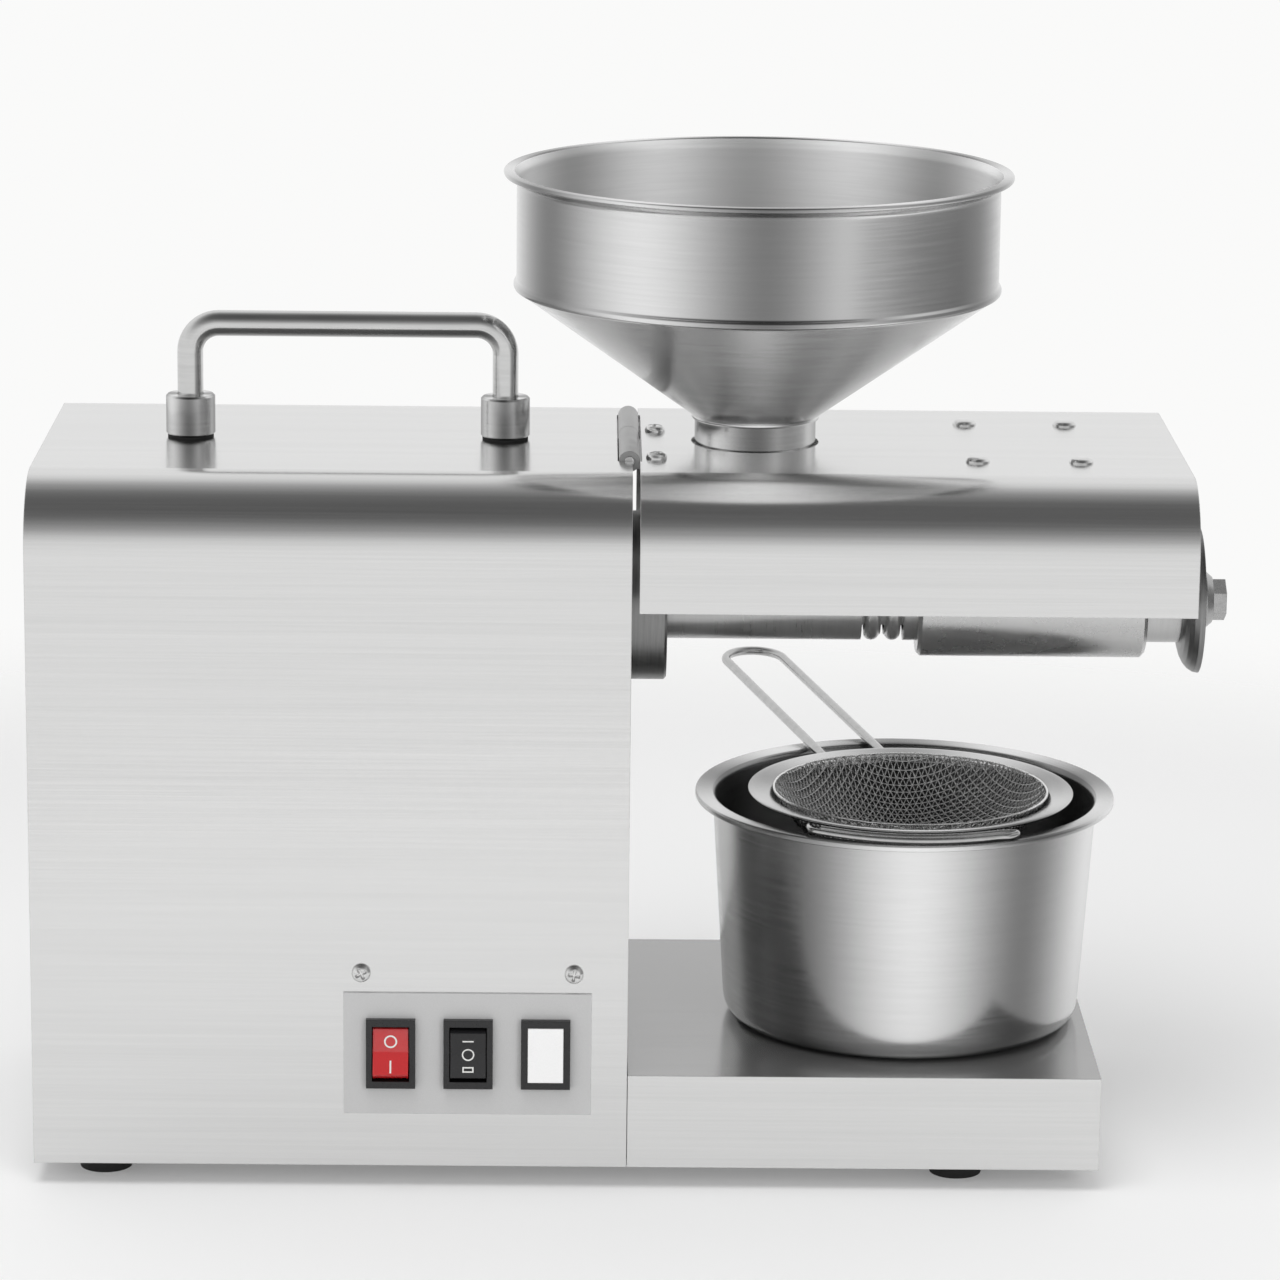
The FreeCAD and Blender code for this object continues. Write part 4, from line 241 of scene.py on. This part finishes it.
def plastic(name, colour, rough=0.35, grain=2500, variation=0.12, bump=0.15, edge=0.0003, **shader):
    """Moulded plastic, rubber or paint with a fine grain."""
    material, tree, base, coord = start_material(name, **shader)
    noise = streaks(tree, coord, (grain, grain, grain), 3.0, 0.5)
    low = tuple(c * (1 - variation) for c in colour)
    high = tuple(min(1, c * (1 + variation)) for c in colour)
    tree.links.new(ramp_of(tree, noise, [(0.3, low), (0.7, high)]), base.inputs["Base Color"])
    tree.links.new(ramp_of(tree, noise, [(0.3, rough * 0.85), (0.7, min(1, rough * 1.15))]),
                   base.inputs["Roughness"])
    relief(tree, base, noise, bump, 0.00004, edge)
    return material


ALONG_X = (9, 1500, 1500)
TURNED_X = (1400, 60, 60)
SHEET = steel("brushed_sheet", 0.73, ALONG_X, rough=(0.15, 0.22), spread=0.035, bump=0.05)
# painted shade: upward faces of the base are darkened in the base colour, standing in for the dark
# reflection on its polished top
TRAY = steel("brushed_base", 0.73, ALONG_X, rough=(0.14, 0.22), spread=0.035, bump=0.05,
             facing_shade=[(0.6, 1.0), (0.95, 0.52)], metal=0.75)
CHROME = steel("polished_rod", 0.62, (40, 40, 500), rough=(0.1, 0.18), spread=0.06, bump=0.04)
FERRULE = steel("turned_ferrule", 0.52, (60, 60, 1500), rough=(0.18, 0.3), spread=0.1, bump=0.1)
BRIGHT = steel("bright_fastener", 0.72, (600, 600, 600), rough=(0.12, 0.22), spread=0.08, bump=0.08)
DARK = steel("dark_turned", 0.27, TURNED_X, rough=(0.3, 0.42), spread=0.15, bump=0.12)
BARREL = steel("barrel_steel", 0.55, TURNED_X, rough=(0.26, 0.34), spread=0.04, bump=0.03, metal=0.8)
# painted shade: the heater sleeve is darkened in the base colour where it faces down
SLEEVE = steel("heater_steel", 0.72, (90, 90, 90), rough=(0.24, 0.32), spread=0.04, bump=0.03,
               facing_shade=[(0.0, 0.7), (0.35, 0.75), (0.62, 1.0)], metal=0.85)
PLATE = steel("plain_plate", 0.4, (200, 200, 200), rough=(0.3, 0.45))
NUT = steel("worm_end", 0.42, (900, 900, 900), rough=(0.2, 0.32), spread=0.1)
WIRE = steel("wire_steel", 0.5, (300, 300, 300), rough=(0.14, 0.24), spread=0.08, bump=0.05)
PANEL = plastic("panel_grey", (gray(196),) * 3, rough=0.5, variation=0.03, bump=0.05, edge=0.0002)
BLACK = plastic("black_plastic", (0.012, 0.012, 0.013), rough=0.3, variation=0.2)
ROCKER_BLACK = plastic("black_rocker", (0.011, 0.011, 0.012), rough=0.24, variation=0.2, edge=0.0004)
RUBBER = plastic("foot_rubber", (0.012, 0.012, 0.012), rough=0.75, variation=0.3, bump=0.4)
PAINT = plastic("motor_paint", (0.03, 0.03, 0.035), rough=0.45)
GREEN = plastic("board_green", (0.02, 0.12, 0.04), rough=0.4)
BRASS = steel("contact_brass", 0.7, (900, 900, 900), tint=(1.0, 0.82, 0.45))
MARK = plastic("white_mark", (0.8, 0.8, 0.78), rough=0.4, variation=0.04, edge=0.0)
LENS = plastic("white_lens", (0.93, 0.93, 0.93), rough=0.22, variation=0.02, bump=0.03, edge=0.0003,
               Coat_Weight=0.4)
RED = plastic("red_rocker", (0.62, 0.012, 0.016), rough=0.16, variation=0.06, bump=0.03, edge=0.0005,
              Coat_Weight=0.8, Transmission_Weight=0.15)

# painted reflections on the handle ferrules: light and dark bands round each ferrule in the base
# colour, brightened by tone
FERRULE_REFLECTION_BANDS = painted_reflection_bands(4, 120, 220)
FERRULE_LEFT = steel_with_painted_reflections("ferrule_left_painted_reflections", middle("handle_ferrule_left"), FERRULE_REFLECTION_BANDS,
                            tone=1.1)
FERRULE_RIGHT = steel_with_painted_reflections("ferrule_right_painted_reflections", middle("handle_ferrule_right"), FERRULE_REFLECTION_BANDS,
                             tone=1.1)

CAD_LOOKS = {
    SHEET: "housing_shell left_end_cover right_end_plate chamber_cover heat_shield",
    TRAY: "base_tray",
    PLATE: "base_plate gearbox_front_plate gearbox_rear_plate board_standoffs gearbox_pillars "
           "gearbox_bearings output_shaft output_gear idler_pinion idler_gear motor_rotor "
           "handle_bolts seat_screws hinge_leaf_housing hinge_leaf_cover",
    CHROME: "handle_tube hinge_pin",
    FERRULE_LEFT: "handle_ferrule_left",
    FERRULE_RIGHT: "handle_ferrule_right",
    FERRULE: "feed_throat",
    DARK: "press_seat cake_guard",
    BARREL: "press_barrel press_worm",
    SLEEVE: "heater_sleeve",
    NUT: "tail_nut",
    WIRE: "strainer_handle",
    PANEL: "switch_panel",
    BLACK: "power_switch_body direction_switch_body lamp_body power_inlet motor_fan board_parts",
    ROCKER_BLACK: "direction_rocker",
    RED: "power_rocker",
    LENS: "lamp_lens",
    RUBBER: "rubber_feet handle_gaskets",
    PAINT: "motor_case motor_stator",
    GREEN: "control_board",
    BRASS: "inlet_contacts",
    BRIGHT: "end_cover_screws board_screws hinge_screws inlet_screws foot_screws cover_rivets",
}
for look, names in CAD_LOOKS.items():
    for name in names.split():
        data = NODES[name].data
        data.materials.clear()
        data.materials.append(look)


# ------------------------------------------------------------------------------ mesh builders
def new_piece(name, body, mesh, looks, replaced=()):
    """Object from a bmesh that rides on a body."""
    data = bpy.data.meshes.new(name)
    mesh.to_mesh(data)
    mesh.free()
    for look in looks:
        data.materials.append(look)
    data.shade_smooth()
    data.set_sharp_from_angle(angle=math.radians(34))
    item = bpy.data.objects.new(name, data)
    bpy.context.scene.collection.objects.link(item)
    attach(item, body)
    if replaced:
        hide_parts(*replaced)
    return item


def rounded(corners, radius, steps=4):
    """Profile points with each inner corner replaced by a small arc."""
    count = len(corners)
    out = []
    for index in range(count):
        here = Vector(corners[index][:2])
        before = Vector(corners[index - 1][:2]) - here
        after = Vector(corners[(index + 1) % count][:2]) - here
        r = corners[index][2] if len(corners[index]) > 2 else radius
        reach = min(r, before.length * 0.45, after.length * 0.45)
        a = here + before.normalized() * reach
        b = here + after.normalized() * reach
        for step in range(steps + 1):
            t = step / steps
            out.append(a * (1 - t) ** 2 + here * (2 * t * (1 - t)) + b * t ** 2)
    return out


def spin(mesh, profile, centre, segments=192):
    """Turn a closed (radius, height) profile about an upright axis."""
    rings = []
    for radius, height in profile:
        ring = []
        for k in range(segments):
            a = 2 * math.pi * k / segments
            ring.append(mesh.verts.new((centre.x + radius * math.cos(a),
                                        centre.y + radius * math.sin(a), height)))
        rings.append(ring)
    count = len(rings)
    for index in range(count):
        ring, after = rings[index], rings[(index + 1) % count]
        for k in range(segments):
            n = (k + 1) % segments
            mesh.faces.new((ring[k], ring[n], after[n], after[k]))
    bmesh.ops.recalc_face_normals(mesh, faces=mesh.faces)


# ----------------------------------------------------------------------------------- hopper
bowl_low, bowl_high = (Vector(v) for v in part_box("hopper_bowl"))
cone_low, cone_high = (Vector(v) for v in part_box("hopper_cone"))
hopper_axis = (bowl_low + bowl_high) / 2
rim_radius = (bowl_high.x - bowl_low.x) / 2
wall_radius = (cone_high.x - cone_low.x) / 2
neck_tree = surface("hopper_cone")
hit = neck_tree.ray_cast(Vector((hopper_axis.x, -1, cone_low.z + 3 * MM)), Vector((0, 1, 0)))[0]
neck_radius = hopper_axis.y - hit.y
cover_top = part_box("chamber_cover")[1][2]
neck_top = cover_top + 8 * MM
top = bowl_high.z
seam = bowl_low.z
gauge = 0.9 * MM
inside = wall_radius - gauge
hopper_profile = rounded([
    (neck_radius - gauge, cone_low.z), (neck_radius, cone_low.z),
    (neck_radius, neck_top - 0.6 * MM, 0.1 * MM),
    (neck_radius + 1.0 * MM, neck_top - 0.5 * MM, 0.5 * MM),
    (neck_radius + 1.0 * MM, neck_top + 0.5 * MM, 0.5 * MM),
    (neck_radius + 0.7 * MM, neck_top + 0.6 * MM, 0.1 * MM),
    (wall_radius - 0.6 * MM, seam - 0.5 * MM, 0.5 * MM),
    (wall_radius + 0.9 * MM, seam + 0.2 * MM, 0.7 * MM),
    (wall_radius + 0.9 * MM, seam + 1.7 * MM, 0.7 * MM), (wall_radius, seam + 2.4 * MM, 0.5 * MM),
    (wall_radius, top - 3.4 * MM, 2.2 * MM), (rim_radius - 1.3 * MM, top - 1.9 * MM, 1.2 * MM),
    (rim_radius, top - 1.5 * MM, 0.7 * MM), (rim_radius, top - 0.1 * MM, 0.7 * MM),
    (rim_radius - 3.0 * MM, top, 0.6 * MM), (inside, top - 2.2 * MM, 1.6 * MM),
    (inside, seam + 0.6 * MM, 1.5 * MM), (neck_radius - gauge, neck_top + 0.6 * MM, 1.5 * MM),
], 0.3 * MM)
# painted reflections on the hopper: light and dark bands round its axis in the base colour; the inside
# gets brighter bands, and the cone and neck bands are brightened by tone
HOPPER_WALL = steel_with_painted_reflections("hopper_wall_painted_reflections", hopper_axis, painted_reflection_bands(6, 120, 235))
HOPPER_IN = steel_with_painted_reflections("hopper_inside_painted_reflections", hopper_axis, painted_reflection_bands(7, 170, 245),
                         rough=(0.34, 0.44), metal=0.3)
HOPPER_CONE = steel_with_painted_reflections("hopper_cone_painted_reflections", hopper_axis, painted_reflection_bands(5, 160, 240),
                           metal=0.8, tone=1.35)
HOPPER_NECK = steel_with_painted_reflections("hopper_neck_painted_reflections", hopper_axis, painted_reflection_bands(4, 140, 235), tone=1.25)
mesh = bmesh.new()
spin(mesh, hopper_profile, hopper_axis, 256)
for face in mesh.faces:
    centre = face.calc_center_median()
    if centre.z < neck_top:
        face.material_index = 2
    elif centre.z < seam - 0.2 * MM:
        face.material_index = 1
    inward = (hopper_axis.x - centre.x) * face.normal.x + (hopper_axis.y - centre.y) * face.normal.y
    if inward > 0 and centre.z < top - 0.5 * MM:
        face.material_index = 3
new_piece("hopper", "hopper", mesh, [HOPPER_WALL, HOPPER_CONE, HOPPER_NECK, HOPPER_IN],
          ("hopper_bowl", "hopper_cone"))

# -------------------------------------------------------------------------------------- pot
pot_low, pot_high = (Vector(v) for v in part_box("oil_pot"))
pot_axis = (pot_low + pot_high) / 2
pot_rim = (pot_high.x - pot_low.x) / 2
pot_tree = surface("oil_pot")


def pot_wall(height):
    """Outer radius of the pot's wall at a height."""
    spot = pot_tree.ray_cast(Vector((pot_axis.x, -1, height)), Vector((0, 1, 0)))[0]
    return pot_axis.y - spot.y


pot_top_wall = pot_wall(pot_high.z - 4 * MM)
pot_foot = pot_wall(pot_low.z + 9 * MM) - 0.5 * MM
thick = 1.0 * MM
pot_profile = rounded([
    (0.1 * MM, pot_low.z), (pot_foot, pot_low.z, 6.5 * MM),
    (pot_top_wall, pot_high.z - 1.6 * MM, 1.6 * MM),
    (pot_rim - 1.1 * MM, pot_high.z - 1.1 * MM, 1.0 * MM),
    (pot_rim - 1.0 * MM, pot_high.z - 2.0 * MM, 0.3 * MM),
    (pot_rim, pot_high.z - 1.9 * MM, 0.4 * MM), (pot_rim, pot_high.z, 1.3 * MM),
    (pot_top_wall - thick, pot_high.z - 0.4 * MM, 2.4 * MM),
    (pot_foot - thick, pot_low.z + thick, 6.0 * MM),
    (0.1 * MM, pot_low.z + thick)], 0.3 * MM, 6)
# painted reflections on the pot as bands round its axis; the inside bands are set darker as painted
# shade inside the pot
POT_OUT = steel_with_painted_reflections("pot_outside_painted_reflections", pot_axis, painted_reflection_bands(5, 120, 240), metal=0.85)
POT_IN = steel_with_painted_reflections("pot_inside_painted_shade_and_reflections", pot_axis, painted_reflection_bands(5, 90, 190), metal=0.75)
mesh = bmesh.new()
spin(mesh, pot_profile, pot_axis, 224)
for face in mesh.faces:
    c = face.calc_center_median()
    r = math.hypot(c.x - pot_axis.x, c.y - pot_axis.y)
    outward = face.normal.x * (c.x - pot_axis.x) + face.normal.y * (c.y - pot_axis.y)
    within = c.z > pot_low.z + 0.5 * MM and r < pot_top_wall - 0.2 * MM
    if within and (outward < 0 or face.normal.z > 0.5):
        face.material_index = 1
new_piece("oil_pot_spun", "pot", mesh, [POT_OUT, POT_IN], ("oil_pot",))

# ----------------------------------------------------------------------------------- strainer
net_low, net_high = (Vector(v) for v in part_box("strainer_mesh"))
net_axis = (net_low + net_high) / 2
net_radius = (net_high.x - net_low.x) / 2
net_depth = net_high.z - net_low.z
ball = (net_radius ** 2 + net_depth ** 2) / (2 * net_depth)
rim_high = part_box("strainer_rim")[1][2]
ring_low, ring_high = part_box("strainer_rim")
rim_outer = ring_high[0] - net_axis.x
# painted reflections on the strainer rim: light and dark bands round its axis in the base colour
RIM = steel_with_painted_reflections("strainer_rim_painted_reflections", net_axis, painted_reflection_bands(5, 140, 215), strength=0.8)
mesh = bmesh.new()
spin(mesh, rounded([
    (net_radius - 0.2 * MM, rim_high - 3.0 * MM), (net_radius + 0.9 * MM, rim_high - 3.0 * MM),
    (net_radius + 1.3 * MM, rim_high - 1.6 * MM), (rim_outer - 1.4 * MM, rim_high - 0.9 * MM),
    (rim_outer - 0.2 * MM, rim_high - 1.0 * MM, 0.5 * MM), (rim_outer, rim_high - 0.1 * MM, 0.5 * MM),
    (rim_outer - 1.6 * MM, rim_high, 0.8 * MM), (net_radius + 2.6 * MM, rim_high - 0.7 * MM, 1.2 * MM),
    (net_radius + 0.4 * MM, rim_high - 1.5 * MM, 0.8 * MM),
], 0.25 * MM), net_axis, 192)
new_piece("strainer_rim_spun", "strainer", mesh, [RIM], ("strainer_rim",))

NET = steel("mesh_wire", 0.8, (900, 900, 900), rough=(0.2, 0.3), spread=0.1, bump=0.05, edge=0.0)
mesh = bmesh.new()
pitch = 2.0 * MM
count = int(net_radius / pitch) + 1
grid = {}
for i in range(-count, count + 1):
    for j in range(-2 * count, 2 * count + 1):
        u = (i + 0.5 * (j % 2)) * pitch
        v = j * pitch * 0.8
        far = math.hypot(u, v)
        if far > net_radius + 0.8 * pitch:
            continue
        if far > net_radius - 0.1 * MM:
            u, v = (c * (net_radius - 0.1 * MM) / far for c in (u, v))
        drop = math.sqrt(max(0, (ball - 0.3 * MM) ** 2 - u * u - v * v)) - (ball - net_depth)
        grid[i, j] = mesh.verts.new((net_axis.x + u, net_axis.y + v, net_high.z - drop))
for (i, j), vert in grid.items():
    right = grid.get((i + 1, j))
    up_a = grid.get((i + (j % 2), j + 1))
    up_b = grid.get((i - 1 + (j % 2), j + 1))
    if up_a and up_b:
        mesh.faces.new((vert, up_a, up_b))
    if right and up_a:
        mesh.faces.new((vert, right, up_a))
net = new_piece("strainer_net", "strainer", mesh, [NET], ("strainer_mesh",))
wires = net.modifiers.new("wires", "WIREFRAME")
wires.thickness = 0.85 * MM
wires.use_even_offset = False
wires.use_boundary = True


def wire(name, body, points, radius, look, closed=False):
    """Round wire along points."""
    curve = bpy.data.curves.new(name, "CURVE")
    curve.dimensions = "3D"
    curve.bevel_depth = radius
    curve.bevel_resolution = 6
    curve.resolution_u = 10
    curve.use_fill_caps = True
    line = curve.splines.new("NURBS")
    line.points.add(len(points) - 1)
    for spot, point in zip(line.points, points):
        spot.co = (*point, 1)
    line.order_u = 3
    line.use_cyclic_u = closed
    line.use_endpoint_u = not closed
    curve.materials.append(look)
    item = bpy.data.objects.new(name, curve)
    bpy.context.scene.collection.objects.link(item)
    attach(item, body)
    return item


def on_strainer(radius, degrees, height):
    """Point about the strainer's axis; degrees count from +X."""
    a = math.radians(degrees)
    return (net_axis.x + radius * math.cos(a), net_axis.y + radius * math.sin(a), height)


ear_top = pot_high.z + 1.5 * MM
ear_out = net_axis.y - ring_low[1]
ear = [on_strainer(net_radius + 2 * MM, -136, rim_high - 2.2 * MM)]
ear += [on_strainer(ear_out - 1.6 * MM, degrees, ear_top) for degrees in range(-128, -60, 8)]
ear += [on_strainer(ear_out - 0.6 * MM, -62, ear_top), on_strainer(ear_out - 2.2 * MM, -57, ear_top),
        on_strainer(ear_out - 5.0 * MM, -60, ear_top)]
ear += [on_strainer(ear_out - 5.4 * MM, degrees, ear_top) for degrees in range(-68, -130, -8)]
wire("strainer_ear", "strainer", ear, 0.95 * MM, WIRE)


# ----------------------------------------------------------------------------------- fasteners
def add_head(mesh, point, out, radius, height, cross, turn=0.0):
    """Domed head on a point: a grid pushed into shape, with a cross recess when asked."""
    out = Vector(out)
    side = Vector((0, 0, 1)) if abs(out.z) < 0.5 else Vector((1, 0, 0))
    across = side.cross(out).normalized()
    across = (Matrix.Rotation(turn, 4, out) @ across).normalized()
    side = out.cross(across)
    rings, spokes = 18, 48
    rows = []
    for i in range(rings + 1):
        share = i / rings
        row = []
        for k in range(spokes):
            a = 2 * math.pi * k / spokes
            u, v = share * radius * math.cos(a), share * radius * math.sin(a)
            if share < 0.93:
                rise = height * (1 - 0.55 * share ** 4)
            else:
                rise = height * 0.45 * (1 - (share - 0.93) * 6)
            slim = radius * 0.13
            reach_in = radius * 0.62
            if cross and (abs(u) < slim and abs(v) < reach_in or abs(v) < slim and abs(u) < reach_in):
                rise -= height * 0.5
            spot = Vector(point) + across * u + side * v + out * rise
            row.append(mesh.verts.new(spot))
        rows.append(row)
    base = [mesh.verts.new(Vector(point) + across * radius * math.cos(2 * math.pi * k / spokes)
                           + side * radius * math.sin(2 * math.pi * k / spokes)) for k in range(spokes)]
    rows.append(base)
    for row, after in zip(rows, rows[1:]):
        for k in range(spokes):
            n = (k + 1) % spokes
            mesh.faces.new((row[k], row[n], after[n], after[k]))
    bmesh.ops.remove_doubles(mesh, verts=mesh.verts, dist=1e-7)
    bmesh.ops.recalc_face_normals(mesh, faces=mesh.faces)


def heads(name, body, node, out, radius, height, cross=True):
    """Heads for every solid of a fastener node, on the side that out points to."""
    mesh = bmesh.new()
    out = Vector(out)
    for index, (low, high) in enumerate(islands(node)):
        centre = (low + high) / 2
        reach_out = max(low.dot(out), high.dot(out))
        point = centre + out * (reach_out - centre.dot(out) - height)
        add_head(mesh, point, out, radius, height, cross, 0.5 + index * 0.9)
    return new_piece(name, body, mesh, [BRIGHT], (node,))


heads("end_screw_heads", "machine", "end_cover_screws", (-1, 0, 0), 2.9 * MM, 2.0 * MM)
heads("board_screw_heads", "machine", "board_screws", (0, -1, 0), 2.9 * MM, 2.0 * MM)
heads("inlet_screw_heads", "machine", "inlet_screws", (0, 1, 0), 2.9 * MM, 2.0 * MM)
heads("hinge_screw_heads", "cover", "hinge_screws", (0, 0, 1), 3.2 * MM, 2.0 * MM)
heads("rivet_heads", "cover", "cover_rivets", (0, 0, 1), 3.7 * MM, 1.7 * MM, cross=False)


# --------------------------------------------------------------------------------- switch marks
def mark(name, body, node, outlines, look=MARK):
    """Thin print on the front of a rocker: closed (x, z) rings of outer and inner points."""
    tree = surface(node)
    mesh = bmesh.new()
    for outer, inner in outlines:
        rings = []
        for ring in (outer, inner):
            row = []
            for x, z in ring:
                spot, normal = tree.ray_cast(Vector((x, -1, z)), Vector((0, 1, 0)))[:2]
                row.append(mesh.verts.new(spot + normal * 0.04 * MM))
            rings.append(row)
        count = len(outer)
        for k in range(count):
            n = (k + 1) % count
            mesh.faces.new((rings[0][k], rings[0][n], rings[1][n], rings[1][k]))
    bmesh.ops.recalc_face_normals(mesh, faces=mesh.faces)
    return new_piece(name, body, mesh, [look])


def ring_outline(x, z, radius, width, count=40):
    """Circle with a width."""
    return [[(x + r * math.cos(2 * math.pi * k / count), z + r * math.sin(2 * math.pi * k / count))
             for k in range(count)] for r in (radius, radius - width)]


def bar_outline(x, z, wide, tall, width=None):
    """Bar, or a hollow box when a width is given."""
    def corners(w, h):
        return [(x - w / 2, z - h / 2), (x + w / 2, z - h / 2),
                (x + w / 2, z + h / 2), (x - w / 2, z + h / 2)]
    inner = corners(wide - 2 * width, tall - 2 * width) if width else corners(wide * 0.02, tall * 0.02)
    return [corners(wide, tall), inner]


power = middle("power_rocker")
mark("power_marks", "power_switch", "power_rocker", [
    ring_outline(power.x, power.z + 3.9 * MM, 2.0 * MM, 0.5 * MM),
    bar_outline(power.x, power.z - 3.6 * MM, 0.5 * MM, 3.6 * MM)])
turn = middle("direction_rocker")
mark("direction_marks", "direction_switch", "direction_rocker", [
    ring_outline(turn.x, turn.z, 1.9 * MM, 0.42 * MM),
    bar_outline(turn.x, turn.z + 4.4 * MM, 3.4 * MM, 0.45 * MM),
    bar_outline(turn.x, turn.z - 4.6 * MM, 3.4 * MM, 1.7 * MM, 0.4 * MM)])

# ------------------------------------------------------------------------------- stage and light
floor_mesh = bmesh.new()
bmesh.ops.create_circle(floor_mesh, cap_ends=True, radius=0.75, segments=96)
floor_data = bpy.data.meshes.new("floor")
floor_mesh.to_mesh(floor_data)
floor_mesh.free()
floor = bpy.data.objects.new("floor", floor_data)
bpy.context.scene.collection.objects.link(floor)
floor_look, tree, base, coord = start_material("pale_floor", Roughness=0.9)
base.inputs["Base Color"].default_value = (0.8, 0.8, 0.8, 1)
base.inputs["Specular IOR Level"].default_value = 0.1
length = node_of(tree, "ShaderNodeVectorMath", operation="LENGTH")
tree.links.new(coord, length.inputs[0])
fade = ramp_of(tree, length.outputs["Value"], [(0.42, 0.0), (0.72, 1.0)], "EASE")
clear = tree.nodes.new("ShaderNodeBsdfTransparent")
glow = node_of(tree, "ShaderNodeEmission", Strength=0.17)
added = tree.nodes.new("ShaderNodeAddShader")
tree.links.new(base.outputs[0], added.inputs[0])
tree.links.new(glow.outputs[0], added.inputs[1])
mixed = tree.nodes.new("ShaderNodeMixShader")
tree.links.new(fade, mixed.inputs[0])
tree.links.new(added.outputs[0], mixed.inputs[1])
tree.links.new(clear.outputs[0], mixed.inputs[2])
tree.links.new(mixed.outputs[0], tree.nodes["Material Output"].inputs["Surface"])
floor_data.materials.append(floor_look)

world = bpy.data.worlds.new("studio")
bpy.context.scene.world = world
world.use_nodes = True
tree = world.node_tree
ground = tree.nodes["Background"]
coord = tree.nodes.new("ShaderNodeTexCoord").outputs["Generated"]
facing = node_of(tree, "ShaderNodeVectorMath", operation="DOT_PRODUCT")
tree.links.new(coord, facing.inputs[0])
facing.inputs[1].default_value = (0, -0.4, 0.917)
shade = ramp_of(tree, facing.outputs["Value"], [(0.0, 0.97), (0.3, 1.0), (0.54, 0.86), (0.76, 0.42),
                                                (0.93, 0.17), (1.0, 0.13)])
side = node_of(tree, "ShaderNodeVectorMath", operation="DOT_PRODUCT")
tree.links.new(coord, side.inputs[0])
side.inputs[1].default_value = (0.985, -0.17, 0)
strip = ramp_of(tree, side.outputs["Value"], [(0.72, 1.0), (0.9, 0.45), (1.0, 0.3)], "EASE")
shade = blend(tree, "MULTIPLY", 1.0, shade, strip)
tree.links.new(shade, ground.inputs["Color"])
ground.inputs["Strength"].default_value = 0.95
white = node_of(tree, "ShaderNodeBackground", Color=(0.955, 0.955, 0.95, 1), Strength=1.0)
path = tree.nodes.new("ShaderNodeLightPath")
mixed = tree.nodes.new("ShaderNodeMixShader")
tree.links.new(path.outputs["Is Camera Ray"], mixed.inputs[0])
tree.links.new(ground.outputs[0], mixed.inputs[1])
tree.links.new(white.outputs[0], mixed.inputs[2])
tree.links.new(mixed.outputs[0], tree.nodes["World Output"].inputs["Surface"])


def softbox(name, place, aim, size, watts):
    """Large lamp that lights without showing in the metal."""
    lamp = bpy.data.lights.new(name, "AREA")
    lamp.shape = "DISK"
    lamp.size = size
    lamp.energy = watts
    item = bpy.data.objects.new(name, lamp)
    bpy.context.scene.collection.objects.link(item)
    item.location = place
    item.rotation_mode = "QUATERNION"
    item.rotation_quaternion = (Vector(aim) - Vector(place)).to_track_quat("-Z", "Y")
    item.visible_glossy = False


softbox("softbox_top", (-0.3, -0.6, 1.7), (0, 0, 0.1), 1.2, 14)
softbox("softbox_front", (0.9, -1.6, 0.9), (0, 0, 0.15), 0.9, 7)

# ------------------------------------------------------------------------------------- camera
camera_data = bpy.data.cameras.new("camera")
camera_data.sensor_width = 36
camera_data.lens = 144.53
camera = bpy.data.objects.new("camera", camera_data)
bpy.context.scene.collection.objects.link(camera)
yaw, pitch_down, roll = (math.radians(v) for v in (0.61, 13.38, 0.63))
forward = Vector((math.sin(yaw) * math.cos(pitch_down), math.cos(yaw) * math.cos(pitch_down),
                  -math.sin(pitch_down)))
level = Vector((math.cos(yaw), -math.sin(yaw), 0))
upright = level.cross(forward)
right = level * math.cos(roll) + upright * math.sin(roll)
up = upright * math.cos(roll) - level * math.sin(roll)
turn_matrix = Matrix((right, up, -forward)).transposed()
camera.matrix_world = Matrix.Translation((-0.01488, -1.601345, 0.52915)) @ turn_matrix.to_4x4()
bpy.context.scene.camera = camera
bpy.context.scene.view_settings.view_transform = "Standard"
